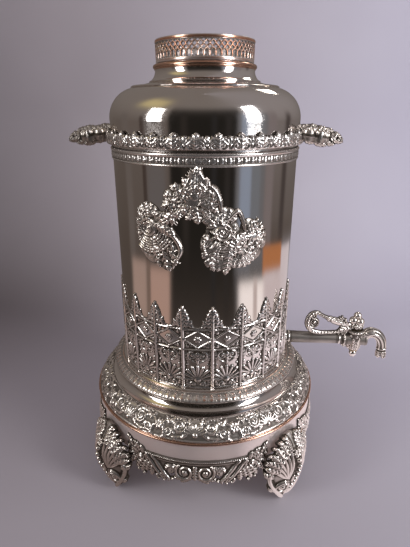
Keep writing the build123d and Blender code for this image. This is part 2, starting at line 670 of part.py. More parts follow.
# Spout: rises a little, arches over and drops to its mouth.
spout_root = TAP_X + 11
with BuildPart() as spout:
    with BuildLine(Plane.XZ) as spout_path:
        FilletPolyline(
            (spout_root, TAP_H), (spout_root + 5, TAP_H), (204, 156.5), (214.8, 150), (214.8, 125.4), radius=7
        )
    mouth = Plane(origin=spout_path.line @ 0, z_dir=spout_path.line % 0)
    with BuildSketch(mouth) as outside:
        Circle(6.0)
    sweep(outside.sketch, path=spout_path.line)
    with BuildSketch(mouth) as inside:
        Circle(3.6)
    sweep(inside.sketch, path=spout_path.line, mode=Mode.SUBTRACT)
save(spout, "spout")

# The turning parts of the tap, drawn in line with the tube and then turned with the lever.
key_low, key_high = low - 8.5, high + 5.0
with BuildPart() as plug_form:
    on_valve(((0, low), (plug_r(low), low), (plug_r(high), high), (plug_r(high), key_high), (0, key_high)))
    on_valve(((0, key_low), (2.2, key_low), (2.2, low), (0, low)))
    with BuildSketch(Plane(origin=(TAP_X, -10, TAP_H), x_dir=(1, 0, 0), z_dir=(0, 1, 0))) as port:
        Circle(2.6)
    extrude(port.sketch, amount=20, mode=Mode.SUBTRACT)

with BuildPart() as washer_form:
    on_valve(((2.2 + FIT, low - 1.6), (5.4, low - 1.6), (5.4, low - 0.3), (2.2 + FIT, low - 0.3)))

with BuildPart() as nut_form:
    with Locations((TAP_X, 0, low - 6.0)):
        Sphere(4.4)
    on_valve(((0, low - 20), (2.2 + RUNNING, low - 20), (2.2 + RUNNING, low), (0, low)), mode=Mode.SUBTRACT)
    on_valve(((0, low - 1.7), (9, low - 1.7), (9, low + 9), (0, low + 9)), mode=Mode.SUBTRACT)
    on_valve(((0, low - 10.2), (2.9, low - 10.2), (2.9, key_low - 0.1), (0, key_low - 0.1)))

LEVER_ROUTE = (
    (174.5, 166.4), (162, 161.4), (127, 161.2), (119.5, 173.5), (127, 186.5), (150, 178.6), (174.5, 171.8)
)
with BuildPart() as lever_form:
    with BuildLine(Plane.XZ) as lever_path:
        FilletPolyline(*LEVER_ROUTE, radius=6.5)
    with BuildSketch(Plane(origin=lever_path.line @ 0, z_dir=lever_path.line % 0)) as arm:
        Circle(2.4)
    sweep(arm.sketch, path=lever_path.line)
    on_valve(((0, high + 0.6), (7.2, high + 0.6), (7.6, high + 3.2), (6.8, 173.6), (0, 173.6)))
    with BuildSketch(Plane.XZ.offset(-2.2)) as upper_leaf:
        with Locations((152, 178.2)):
            Ellipse(9.5, 4.2, rotation=-17)
    extrude(upper_leaf.sketch, amount=4.4)
    on_valve(((0, low), (LIP_R, low), (LIP_R, high + 0.4), (0, high + 0.4)), mode=Mode.SUBTRACT)
    stem_r = plug_r(high) + FIT
    on_valve(((0, 100), (stem_r, 100), (stem_r, key_high), (0, key_high)), mode=Mode.SUBTRACT)
    with BuildSketch(Plane.XY.offset(170)) as pin_hole:
        with Locations((TAP_X, 0)):
            Circle(1.6)
    extrude(pin_hole.sketch, amount=4, mode=Mode.SUBTRACT)

hub_top = 173.6
with BuildPart() as knob_form:
    with Locations((TAP_X, 0, hub_top)):
        Cylinder(3.4, 3.0, align=(Align.CENTER, Align.CENTER, Align.MIN))
    with Locations((TAP_X, 0, 170.2)):
        Cylinder(1.5, hub_top - 170.2, align=(Align.CENTER, Align.CENTER, Align.MIN))
    with Locations((TAP_X, 0, 0)):
        with PolarLocations(3.9, 3, start_angle=180):
            with Locations((0, 0, 177.9)):
                Sphere(4.0)
    with Locations((TAP_X, 0, 182.2)):
        Sphere(3.6)

turned = {
    "tap_plug": plug_form, "plug_washer": washer_form, "plug_nut": nut_form, "tap_lever": lever_form,
    "tap_knob": knob_form,
}
valve_axis = Axis((TAP_X, 0, 0), (0, 0, 1))
for label, form in turned.items():
    with BuildPart() as piece:
        add(form.part.rotate(valve_axis, LEVER_TURN))
    save(piece, label)
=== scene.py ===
"""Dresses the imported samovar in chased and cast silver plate, on a pale floor in soft studio light.

Ornament is built as height fields in millimetres, from rounded strokes, leaves, scrolls and beads, and
laid onto cylinders, turned surfaces and swept bars. The object's front faces -Y and its tap points to +X.
"""
import json
from math import atan2, ceil, cos, hypot, pi, radians, sin, sqrt

import bpy
import numpy as np
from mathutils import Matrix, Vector


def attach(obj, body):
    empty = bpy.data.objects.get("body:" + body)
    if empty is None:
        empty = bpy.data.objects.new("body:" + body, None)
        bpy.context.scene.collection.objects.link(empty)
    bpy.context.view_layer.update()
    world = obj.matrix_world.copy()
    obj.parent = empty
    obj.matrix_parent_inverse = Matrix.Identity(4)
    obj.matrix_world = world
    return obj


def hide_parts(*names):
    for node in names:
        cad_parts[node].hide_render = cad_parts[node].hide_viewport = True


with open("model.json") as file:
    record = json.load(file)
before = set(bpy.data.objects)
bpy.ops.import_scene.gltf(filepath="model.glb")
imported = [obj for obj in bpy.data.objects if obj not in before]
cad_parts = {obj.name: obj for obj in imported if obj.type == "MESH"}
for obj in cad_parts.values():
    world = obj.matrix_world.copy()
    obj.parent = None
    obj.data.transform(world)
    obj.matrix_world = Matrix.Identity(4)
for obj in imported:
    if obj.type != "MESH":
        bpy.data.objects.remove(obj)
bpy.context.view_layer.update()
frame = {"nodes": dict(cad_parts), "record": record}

MM = 0.001
WALL_R = 95.0  # the vessel's wall
VALVE_X, TAP_Z, KEY_TURN = 181.0, 149.5, 8.0  # the valve's axis, the tap's axis, and the key's turn in degrees
SOLE_Z = 0.3  # no foot plate comes lower than this
RELIEF_REACH = 1.6  # how far round a point its height is compared to find recesses and edges
BACK_RELIEF = 0.4  # the relief value of back faces
BARE, SINK = 0.02, 0.35  # where relief is lower than the first it lies the second below its wall
ROUNDED_RELIEF = 0.62  # the relief value of plain rounded pieces
EDGE_PULL = 0.55  # how far an open edge is drawn in, as a share of a cell
HARD_EDGE = 35  # plain turned pieces keep edges hard above this angle, in degrees
TARNISH, COPPER = (0.10, 0.082, 0.068), (0.66, 0.33, 0.21)


def linked(name, data):
    """A new object in the scene."""
    obj = bpy.data.objects.new(name, data)
    bpy.context.scene.collection.objects.link(obj)
    return obj


# ---------------------------------------------------------------- camera
CAMERA_TURN = radians(4.5)
CAMERA_BACK, CAMERA_HIGH, CAMERA_DOWN = 0.4639, 0.409, radians(21.28)
lens = bpy.data.cameras.new("camera")
lens.lens, lens.sensor_width, lens.sensor_fit = 27.97, 36.0, "AUTO"
lens.clip_start = 0.01
camera = linked("camera", lens)
camera.location = (CAMERA_BACK * sin(CAMERA_TURN), -CAMERA_BACK * cos(CAMERA_TURN), CAMERA_HIGH)
camera.rotation_euler = (pi / 2 - CAMERA_DOWN, 0, CAMERA_TURN)
bpy.context.scene.camera = camera
bpy.context.scene.view_settings.view_transform = "Standard"


# ---------------------------------------------------------------- curves
def smooth(points, n=24):
    """A Catmull-Rom curve through the points."""
    p = np.asarray(points, float)
    if len(p) < 3:
        t = np.linspace(0, 1, n)[:, None]
        return p[0] * (1 - t) + p[-1] * t
    ends = np.vstack([2 * p[0] - p[1], p, 2 * p[-1] - p[-2]])
    out = []
    t = np.linspace(0, 1, max(3, n // (len(p) - 1)), endpoint=False)[:, None]
    for k in range(1, len(ends) - 2):
        a, b, c, d = ends[k - 1:k + 3]
        out.append(0.5 * (2 * b + (c - a) * t + (2 * a - 5 * b + 4 * c - d) * t ** 2
                          + (3 * b - a - 3 * c + d) * t ** 3))
    return np.vstack(out + [p[-1:]])


def distances(p):
    """How far each point lies along its path."""
    return np.concatenate([[0], np.cumsum(np.hypot(*np.diff(p, axis=0).T))])


def along(points):
    """A path's length, and a function that gives its points and directions at distances along it."""
    p = np.asarray(points, float)
    run = distances(p)
    t = np.gradient(p, run, axis=0)
    t /= np.hypot(*t.T)[:, None]
    return run[-1], lambda v: (np.interp(v, run, column) for column in np.hstack([p, t]).T)


def evenly(count, radius):
    """Places evenly round a field that closes on itself at a radius, the same to both sides of 0."""
    return [(k - 0.5 * (count - 1)) * 2 * pi * radius / count for k in range(count)]


# ---------------------------------------------------------------- height fields
class Field:
    """Heights on a grid of (u, v) in millimetres. A wrapped field closes on itself along u."""

    def __init__(self, u0, u1, v0, v1, step, wrap=False):
        nu, nv = int(round((u1 - u0) / step)), int(round((v1 - v0) / step))
        self.wrap, self.step, self.span = wrap, step, u1 - u0
        self.u = u0 + (u1 - u0) * np.arange(nu if wrap else nu + 1) / nu
        self.v = np.linspace(v0, v1, nv + 1)
        self.h = np.zeros((len(self.v), len(self.u)))

    @classmethod
    def around(cls, radius, v1, step, count=1, v0=0):
        """A field that runs all the way round at a radius, or over one of count repeats."""
        half = pi * radius / count
        return cls(-half, half, v0, v1, step, wrap=True)

    def windows(self, u0, u1, v0, v1):
        """The parts of the grid that a box covers, each with the shift that brings the box there."""
        for shift in ((-self.span, 0, self.span) if self.wrap else (0,)):
            i0, i1 = np.searchsorted(self.u, (u0 + shift, u1 + shift))
            j0, j1 = np.searchsorted(self.v, (v0, v1))
            if i0 < i1 and j0 < j1:
                yield shift, self.u[i0:i1][None], self.v[j0:j1][:, None], self.h[j0:j1, i0:i1]

    def boss(self, x, y, rx, ry=None, tilt=0.0, high=1.0, base=0.0):
        """One oval dome."""
        ry = ry or rx
        reach = max(rx, ry)
        c, s = cos(tilt), sin(tilt)
        for shift, u, v, window in self.windows(x - reach, x + reach, y - reach, y + reach):
            du, dv = u - x - shift, v - y
            q = ((du * c + dv * s) / rx) ** 2 + ((dv * c - du * s) / ry) ** 2
            np.maximum(window, np.where(q < 1, base + high * np.sqrt(np.clip(1 - q, 0, None)), 0), out=window)

    def stroke(self, points, widths, high=1.0, base=0.0, n=24):
        """A rounded stroke along a smooth curve; it narrows and flattens with its widths."""
        p = smooth(points, n)
        run = distances(p)
        w = np.atleast_1d(widths).astype(float)
        count = max(3, int(ceil(run[-1] / max(0.35 * w.mean(), 0.35 * self.step))))
        for t in np.linspace(0, 1, count):
            x, y = (np.interp(t * run[-1], run, p[:, k]) for k in (0, 1))
            width = np.interp(t, np.linspace(0, 1, len(w)), w)
            self.boss(x, y, width, high=high * sqrt(width / w.max()), base=base)

    def rail(self, height, width, high=1.0, base=0.0):
        """A straight stroke over the whole width of one repeat."""
        self.stroke([(self.u[0], height), (self.u[0] + self.span, height)], [width], high, base, n=4)

    def volute(self, x, y, r, start, turns=1.4, hand=1, width=None, high=1.0, eye=0.32, base=0.0):
        """A spiral scroll that winds in from its rim to a round eye."""
        width = width or 0.2 * r
        self.boss(x, y, 1.06 * r, high=0.42 * high, base=base)
        t = np.linspace(0, 1, int(10 * turns) + 6)
        a = start + hand * 2 * pi * turns * t
        rr = r * (1 - 0.72 * t)
        path = np.stack([x + rr * np.cos(a), y + rr * np.sin(a)], 1)
        self.stroke(path, [width, width * 0.9, width * 0.65], high, base, n=4 * len(path))
        self.boss(x, y, eye * r, high=high * 1.1, base=base)

    def leaf(self, spine, width, lobes=4, high=1.0, sweep=0.75, base=0.0):
        """An acanthus leaf: a raised spine, a lobed edge and grooves that sweep forward."""
        p = smooth(spine, 30)
        run = distances(p)
        tangent = np.gradient(p, axis=0)
        tangent /= np.hypot(*tangent.T)[:, None]
        reach = 1.15 * width
        (x0, y0), (x1, y1) = p.min(axis=0) - reach, p.max(axis=0) + reach
        for shift, u, v, window in self.windows(x0, x1, y0, y1):
            du, dv = u[..., None] - p[:, 0] - shift, v[..., None] - p[:, 1]
            near = np.argmin(du ** 2 + dv ** 2, axis=2)
            du = u - p[near, 0] - shift
            dv = v - p[near, 1]
            t = (run[near] + du * tangent[near, 0] + dv * tangent[near, 1]) / run[-1]
            off = np.abs(du * tangent[near, 1] - dv * tangent[near, 0]) / reach
            t_in = np.clip(t, 0, 1)
            wide = (0.34 + 0.66 * np.sin(pi * (0.14 + 0.78 * t_in))) * (1 - t_in ** 5) ** 0.5
            wide *= 0.78 + 0.22 * np.abs(np.cos(pi * lobes * (t_in - 0.3 * sweep * off)))
            side = off / np.maximum(wide, 1e-3)
            across = np.clip(side, 0, 1)
            groove = 0.5 + 0.5 * np.cos(2 * pi * lobes * (t_in - 0.42 * sweep * across / lobes ** 0.5) + 0.6)
            body = np.clip(1 - across ** 2.6, 0, 1) ** 0.55 * (0.60 + 0.34 * groove)
            rib = 0.34 * np.exp(-(side / 0.16) ** 2) * (1 - 0.5 * t_in)
            inside = (side < 1) & (t > -0.02) & (t < 1)
            np.maximum(window, np.where(inside, base + high * np.minimum(body + rib, 1.08), 0), out=window)

    def leaves(self, rows, high, lobes=4, lift=0.0, base=0.0, up=0.0, middle=0.5):
        """Leaves given as (root u, root v, tip u, tip v, width), moved up and each arched a little by its lift."""
        for a, b, c, d, width in rows:
            b, d = b + up, d + up
            self.leaf([(a, b), (0.5 * (a + c), middle * (b + d) + lift), (c, d)], width, lobes, high, base=base)

    def tuft(self, x, y, rx, ry, count, width, high, start, span, lobes=4, base=0.0):
        """Two rings of leaves that radiate from a point, the inner ring lying on the outer."""
        for ring, (near, far) in enumerate(((0.42, 1.0), (0.18, 0.68))):
            for k in range(count):
                a = pi * (start + span * (k + 0.5 * ring) / (count - 1))
                bend = a + 0.16 * (1 if (k + ring) % 2 else -1)
                spine = [(x + out * rx * cos(angle), y + out * ry * sin(angle))
                         for out, angle in ((near, a), (0.5 * (near + far), bend), (far, a))]
                self.leaf(spine, width * (1 - 0.18 * ring), lobes, high, base=base + 0.3 * ring)
        self.boss(x, y, 0.16 * (rx + ry), high=high, base=base + 0.6)

    def fan(self, x, y, r, spread=2.4, petals=7, lean=pi / 2, high=1.0):
        """A shell: petals that widen towards their tips, each with a bead."""
        width = 0.42 * r * spread / petals
        for a in np.linspace(lean - spread / 2, lean + spread / 2, petals):
            c, s = cos(a), sin(a)
            root, tip = ((x + out * c, y + out * s) for out in (0.2 * r, r - width))
            self.stroke([root, tip], [0.35 * width, width], high, n=4)
            self.boss(x + r * c, y + r * s, 0.8 * width, high=high * 1.15)
        self.boss(x, y, 0.24 * r, high=high * 1.2)

    def beads(self, points, r, gap=2.1, high=None, base=0.0):
        """A row of round beads along a smooth curve."""
        p = smooth(points, 40)
        run = distances(p)
        for t in np.linspace(0, run[-1], max(2, int(run[-1] / (gap * r)) + 1)):
            self.boss(*(np.interp(t, run, p[:, k]) for k in (0, 1)), r, high=high or r, base=base)

    def flower(self, x, y, r, petals=6, high=1.0, base=0.0):
        """A rosette."""
        for a in np.arange(petals) * 2 * pi / petals:
            self.boss(x + 0.58 * r * cos(a), y + 0.58 * r * sin(a), 0.42 * r, 0.3 * r, a, high, base)
        self.boss(x, y, 0.26 * r, high=high * 1.25, base=base)

    def hole(self, x, y, rx, ry, power):
        """Cuts right through: an oval with a power of 2, or nearly a diamond with one near 1."""
        for shift, u, v, window in self.windows(x - rx, x + rx, y - ry, y + ry):
            window[np.abs((u - x - shift) / rx) ** power + np.abs((v - y) / ry) ** power < 1] = 0.0

    def mirrored(self, axis=1):
        """Joins the field with its mirror image in u = 0, or in v = 0 with an axis of 0."""
        image = np.flip(self.h, axis)
        self.h = np.maximum(self.h, np.roll(image, 1, 1) if self.wrap else image)

    def tiled(self, count):
        """A wrapped field that repeats this wrapped one."""
        out = Field.__new__(Field)
        out.wrap, out.step, out.span, out.v = True, self.step, self.span * count, self.v
        n = len(self.u)
        out.u = self.u[0] + self.span * np.arange(n * count) / n
        out.h = np.tile(self.h, count)
        return out

    def blurred(self, reach):
        """The heights, blurred over a distance."""
        h = self.h
        for _ in range(max(1, int(3 * (reach / self.step) ** 2 / 2))):
            if self.wrap:
                h = (np.roll(h, 1, 1) + 2 * h + np.roll(h, -1, 1)) / 4
            else:
                e = np.pad(h, ((0, 0), (1, 1)), "edge")
                h = (e[:, :-2] + 2 * h + e[:, 2:]) / 4
            e = np.pad(h, ((1, 1), (0, 0)), "edge")
            h = (e[:-2] + 2 * h + e[2:]) / 4
        return h

    def softened(self, reach):
        """Rounds the field a little, as casting and polishing do."""
        self.h = self.blurred(reach)
        return self

    def relief(self):
        """From 0 in the recesses to 1 on the high edges."""
        top = max(self.h.max(), 1e-6)
        lift = (self.h - self.blurred(RELIEF_REACH)) / (0.45 * top)
        return np.clip(0.35 + 0.9 * lift + 0.28 * self.h / top, 0, 1)


# ---------------------------------------------------------------- surfaces that fields are laid on
# each gives the point (x, y, z) in millimetres that lies at (u, v) and d in front of the surface
def on_cylinder(radius):
    """u runs along the wall from the front, to the viewer's right; v is the height."""
    def place(u, v, d):
        a = u / radius
        return (radius + d) * np.sin(a), -(radius + d) * np.cos(a), v + 0 * d
    return place


def on_turned(profile, at_radius, centre=(0, 0), lying=False):
    """u is the angle from the front times at_radius; v runs along a profile of (radius, height).

    The axis is upright through centre (x, y), or lies along x through centre (y, z).
    """
    def place(u, v, d):
        r, z, tr, tz = at(v)
        r, z = r + d * tz, z - d * tr
        a = u / at_radius
        if lying:
            return z, centre[0] - r * np.cos(a), centre[1] - r * np.sin(a)
        return centre[0] + r * np.sin(a), centre[1] - r * np.cos(a), z
    place.length, at = along(profile)
    return place


def sleeve(profile, radius, step, centre, lying=False):
    """A turned surface, and a field that runs all the way round it."""
    place = on_turned(profile, radius, centre, lying)
    return place, Field.around(radius, place.length, step)


def spun(place, degrees_round, x0=0.0):
    """The same surface, turned about the vessel's axis, or another upright one at x0."""
    c, s = cos(radians(degrees_round)), sin(radians(degrees_round))

    def turned_place(u, v, d):
        x, y, z = place(u, v, d)
        return x0 + (x - x0) * c - y * s, (x - x0) * s + y * c, z
    return turned_place


def on_plane(origin, across, up):
    """A flat surface: u along across, v along up, and d along their cross product."""
    o, a, b = (np.asarray(value, float) for value in (origin, across, up))
    n = np.cross(a, b)
    return lambda u, v, d: tuple(o[k] + u * a[k] + v * b[k] + d * n[k] for k in range(3))


def on_bar(path, radius):
    """Round a bar that runs in the upright plane y = 0: u is the way round, from the front."""
    def place(u, v, d):
        x, z, tx, tz = at(v)
        a, r = u / radius, radius + d
        return x + tz * r * np.sin(a), -r * np.cos(a), z - tx * r * np.sin(a)
    place.length, at = along(path)
    return place


def on_keel(profile, wing_r, wing_u):
    """A plate facing the front with a rounded ridge along a profile of (distance, height); its sides fall back."""
    def place(u, v, d):
        r, z, tr, tz = at(v)
        side = np.abs(u) / wing_u
        slope = 1.2 * (r - wing_r) / wing_u * side ** 0.2
        tilt = np.arctan(slope) * np.clip(np.abs(u) / 3.0, 0, 1)
        r = r - (r - wing_r) * side ** 1.2
        return (u + d * np.sin(tilt) * np.sign(u), -(r + d * tz * np.cos(tilt)),
                np.maximum(z - d * tr, SOLE_Z))
    place.length, at = along(profile)
    return place


def arc3(a, b, c, n=14):
    """Points on the circle's arc from a through b to c."""
    (ax, ay), (bx, by), (cx, cy) = a, b, c
    d = 2 * (ax * (by - cy) + bx * (cy - ay) + cx * (ay - by))
    sa, sb, sc = ax * ax + ay * ay, bx * bx + by * by, cx * cx + cy * cy
    ox = (sa * (by - cy) + sb * (cy - ay) + sc * (ay - by)) / d
    oy = (sa * (cx - bx) + sb * (ax - cx) + sc * (bx - ax)) / d
    r = hypot(ax - ox, ay - oy)
    a0, a1, a2 = (atan2(y - oy, x - ox) for x, y in (a, b, c))
    turn = (a2 - a0) % (2 * pi)
    if (a1 - a0) % (2 * pi) > turn:
        turn -= 2 * pi
    return [(ox + r * cos(a0 + turn * t), oy + r * sin(a0 + turn * t)) for t in np.linspace(0, 1, n)]


# ---------------------------------------------------------------- meshes
def corners(nv, nu, wrap):
    """The four corners of every cell in a grid of points, numbered row by row; wrap closes the rows."""
    index = np.arange(nv * nu).reshape(nv, nu)
    right = np.roll(index, -1, 1) if wrap else index[:, 1:]
    left = index if wrap else index[:, :-1]
    return left[:-1], right[:-1], right[1:], left[1:]


def new_object(name, verts, faces, relief, slot, body, replaces="", sharp=0):
    """A smooth-shaded mesh from millimetre vertices and quads, riding on a body.

    Edges stay hard where faces meet at more than the sharp angle, in degrees.
    """
    mesh = bpy.data.meshes.new(name)
    verts, faces = np.asarray(verts, float) * MM, np.asarray(faces, np.int32)
    mesh.vertices.add(len(verts))
    mesh.vertices.foreach_set("co", verts.ravel())
    mesh.loops.add(faces.size)
    mesh.loops.foreach_set("vertex_index", faces.ravel())
    mesh.polygons.add(len(faces))
    mesh.polygons.foreach_set("loop_start", np.arange(0, faces.size, 4, dtype=np.int32))
    mesh.update(calc_edges=True)
    mesh.validate()
    mesh.polygons.foreach_set("use_smooth", np.ones(len(mesh.polygons), bool))
    if sharp:
        mesh.set_sharp_from_angle(angle=radians(sharp))
    layer = mesh.attributes.new("relief", "FLOAT", "POINT")
    layer.data.foreach_set("value", np.broadcast_to(relief, len(verts)).astype(float))
    obj = linked(name, mesh)
    mesh.materials.append(MATERIALS[slot])
    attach(obj, body)
    if replaces:
        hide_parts(replaces)
    return obj


def between(name, field, top, bottom, slot, body, replaces="", keep=None):
    """A closed mesh between two grids of points; only the kept cells are made, and walls close their edges."""
    a, b, c, d = corners(*field.h.shape, field.wrap)
    keep = np.ones(a.shape, bool) if keep is None else keep
    n = field.h.size
    quads = [np.stack([x[keep] for x in (a, b, c, d)], 1), np.stack([x[keep] + n for x in (a, d, c, b)], 1)]
    pad = np.pad(keep, ((1, 1), (1, 1)))
    if field.wrap:
        pad[1:-1, 0], pad[1:-1, -1] = keep[:, -1], keep[:, 0]
    below, above, before, after = pad[:-2, 1:-1], pad[2:, 1:-1], pad[1:-1, :-2], pad[1:-1, 2:]
    for neighbour, s, e in ((below, a, b), (after, b, c), (above, c, d), (before, d, a)):
        edge = keep & ~neighbour
        quads.append(np.stack([e[edge], s[edge], s[edge] + n, e[edge] + n], 1))
    points = np.vstack([np.stack(grid, -1).reshape(-1, 3) for grid in (top, bottom)])
    used, faces = np.unique(np.vstack(quads), return_inverse=True)
    shade = np.concatenate([field.relief().ravel(), np.full(n, BACK_RELIEF)])[used]
    return new_object(name, points[used], faces.reshape(-1, 4), shade, slot, body, replaces)


def laid(name, field, place, slot, body, replaces="", depth=1.0, rise=None):
    """A whole surface with its relief, and a plain back face below it."""
    u, v = np.meshgrid(field.u, field.v)
    top = place(u, v, field.h if rise is None else rise)
    return between(name, field, top, place(u, v, np.full_like(u, -depth)), slot, body, replaces)


def applied(name, field, place, slot, body, replaces="", depth=0.9):
    """Relief that stands on a wall: where the field is zero it lies just under the wall's surface."""
    rise = np.where(field.h > BARE, field.h, -SINK)
    return laid(name, field, place, slot, body, replaces, depth, rise)


def pierced(name, field, place, slot, body, replaces="", cut=0.12, depth=2.0, both=0.0):
    """Open relief with a back of its own: cells under the cut are left out, and its edge is drawn smooth.

    The back is flat, or mirrors a share of the front's relief.
    """
    u, v = np.meshgrid(field.u, field.v)
    solid = field.h > cut
    keep = np.any([solid.ravel()[corner] for corner in corners(*solid.shape, field.wrap)], axis=0)
    move_u, move_v, best = np.zeros_like(u), np.zeros_like(v), np.full(u.shape, -1.0)
    for dj, di in ((0, 1), (0, -1), (1, 0), (-1, 0), (1, 1), (1, -1), (-1, 1), (-1, -1)):
        h = np.roll(field.h, (-dj, -di), (0, 1))
        ok = ~solid & (h > cut) & (h > best)
        if dj:
            ok[-1 if dj > 0 else 0] = False
        if di and not field.wrap:
            ok[:, -1 if di > 0 else 0] = False
        best = np.where(ok, h, best)
        move_u = np.where(ok, di * EDGE_PULL * field.step, move_u)
        move_v = np.where(ok, dj * EDGE_PULL * (field.v[1] - field.v[0]), move_v)
    rise = np.maximum(field.h, cut)
    u, v = u + move_u, v + move_v
    back = -both * rise if both else np.full_like(u, -depth)
    return between(name, field, place(u, v, rise), place(u, v, back), slot, body, replaces, keep)


def balls(name, where, slot, body, replaces="", rings=14, segments=24):
    """Polished balls, each (x, y, z, radius)."""
    tilt = np.linspace(-pi / 2 + 0.06, pi / 2 - 0.06, rings)
    turn = 2 * pi * np.arange(segments) / segments
    unit = np.stack([np.outer(np.cos(tilt), np.cos(turn)), np.outer(np.cos(tilt), np.sin(turn)),
                     np.outer(np.sin(tilt), np.ones(segments))], -1).reshape(-1, 3)
    quads = np.stack(corners(rings, segments, True), -1).reshape(-1, 4)
    end = np.arange(segments)
    for ring in (end[::-1], end + (rings - 1) * segments):
        quads = np.vstack([quads] + [ring[[0, k, k + 1, k + 2]] for k in range(1, segments - 2, 2)])
    verts = np.vstack([unit * r + (x, y, z) for x, y, z, r in where])
    faces = np.vstack([quads + k * len(unit) for k in range(len(where))])
    return new_object(name, verts, faces, ROUNDED_RELIEF, slot, body, replaces)


def turned(name, profile, slot, body, replaces="", segments=256, relief=0.5):
    """A closed (radius, height) outline turned about the vessel's axis; it runs anticlockwise."""
    p = np.asarray(profile, float)
    a = 2 * pi * np.arange(segments) / segments
    grid = np.stack([p[:, :1] * np.sin(a), -p[:, :1] * np.cos(a), np.repeat(p[:, 1:], segments, 1)], -1)
    faces = np.stack(corners(len(p) + 1, segments, True), -1).reshape(-1, 4) % (len(p) * segments)
    return new_object(name, grid.reshape(-1, 3), faces, relief, slot, body, replaces, HARD_EDGE)


# ---------------------------------------------------------------- materials
class Nodes:
    """A new material's node tree, with short calls for the nodes that the materials here need."""

    def __init__(self, name):
        self.material = bpy.data.materials.new(name)
        self.material.use_nodes = True
        self.nodes, self.link = self.material.node_tree.nodes, self.material.node_tree.links.new
        self.shader = self.nodes["Principled BSDF"]
        self.place = self.add("ShaderNodeTexCoord").outputs["Object"]

    def put(self, socket, value):
        """Sets a socket to a constant, or links another node's output to it."""
        if isinstance(value, bpy.types.NodeSocket):
            self.link(value, socket)
        elif isinstance(value, tuple) and len(value) == 3 and socket.type == "RGBA":
            socket.default_value = (*value, 1.0)
        else:
            socket.default_value = value

    def add(self, kind, **settings):
        """A new node; each setting is the value or source of an input, or a property."""
        node = self.nodes.new(kind)
        for key, value in settings.items():
            if key in node.inputs:
                self.put(node.inputs[key], value)
            else:
                setattr(node, key, value)
        return node

    def math(self, kind, a, b, clamp=False):
        node = self.add("ShaderNodeMath", operation=kind, use_clamp=clamp)
        self.put(node.inputs[0], a)
        self.put(node.inputs[1], b)
        return node.outputs[0]

    def mix(self, factor, a, b, blend="MIX"):
        node = self.add("ShaderNodeMix", data_type="RGBA", blend_type=blend)
        for at, value in ((0, factor), (6, a), (7, b)):
            self.put(node.inputs[at], value)
        return node.outputs[2]

    def mapping(self, **settings):
        """The object's coordinates, moved, turned or scaled."""
        return self.add("ShaderNodeMapping", Vector=self.place, **settings).outputs[0]

    def noise(self, scale, detail=3.0, stretch=None):
        source = self.mapping(Scale=stretch) if stretch else self.place
        return self.add("ShaderNodeTexNoise", Scale=scale, Detail=detail, Vector=source).outputs["Fac"]

    def map_range(self, value, low, high, top=1.0):
        """The value as 0 at low and top at high, and held to that range."""
        node = self.add("ShaderNodeMapRange", **{"Value": value, "From Min": low, "From Max": high, "To Max": top})
        return node.outputs[0]


def metal(name, color, rough, tarnish, copper=0.0, ripple=0.0, scratch=0.25, satin=0.0,
          metallic=1.0, chased=0.0):
    """Silver plate: dark in the recesses, worn to copper on some high edges, with fine scratches.

    ripple is the depth of a slow wave in metres; scratch and chased are strengths of bumps; satin roughens
    the shine unevenly.
    """
    nodes = Nodes(name)
    math, mix = nodes.math, nodes.mix
    nodes.shader.inputs["Metallic"].default_value = metallic
    relief = nodes.add("ShaderNodeAttribute", attribute_name="relief").outputs["Fac"]
    patches, specks = nodes.noise(45.0), nodes.noise(420.0, 2.0)
    # deep is 1 in recesses, and its edge wanders with the patches
    deep = math("MULTIPLY", math("SUBTRACT", 0.53, relief), 4.2)
    deep = math("ADD", deep, math("MULTIPLY", math("SUBTRACT", patches, 0.5), 0.7), clamp=True)
    deep = math("MULTIPLY", deep, tarnish, clamp=True)
    warm = mix(math("MULTIPLY", patches, 0.55), color, tuple(c * k for c, k in zip(color, (0.98, 0.90, 0.84))))
    base = mix(deep, warm, TARNISH)
    if copper:
        edge = math("SUBTRACT", math("ADD", relief, math("MULTIPLY", patches, 0.5)), 1.32 - copper)
        base = mix(math("MULTIPLY", edge, 3.5, clamp=True), base, COPPER)
    nodes.put(nodes.shader.inputs["Base Color"], base)
    rub = math("MULTIPLY", math("SUBTRACT", specks, 0.5), 0.08 + 0.1 * satin)
    roughness = math("ADD", math("ADD", rough, rub), math("MULTIPLY", deep, 0.38), clamp=True)
    nodes.put(nodes.shader.inputs["Roughness"], roughness)
    scratches = nodes.noise(900.0, 2.0, (1.0, 1.0, 0.25))
    bump = nodes.add("ShaderNodeBump", Strength=scratch, Distance=0.00005, Height=scratches)
    if chased:
        punched = nodes.add("ShaderNodeBump", Strength=chased, Distance=0.0006, Height=nodes.noise(520.0, 1.5))
        nodes.put(bump.inputs["Normal"], punched.outputs[0])
    if ripple:
        waves = nodes.noise(9.0, 1.0, (1.0, 1.0, 0.35))
        wave = nodes.add("ShaderNodeBump", Strength=1.0, Distance=ripple, Height=waves)
        nodes.put(bump.inputs["Normal"], wave.outputs[0])
    nodes.put(nodes.shader.inputs["Normal"], bump.outputs[0])
    return nodes.material


SILVER, WORN = (0.83, 0.795, 0.775), (0.82, 0.77, 0.73)
CAST = dict(metallic=0.93, chased=0.25)
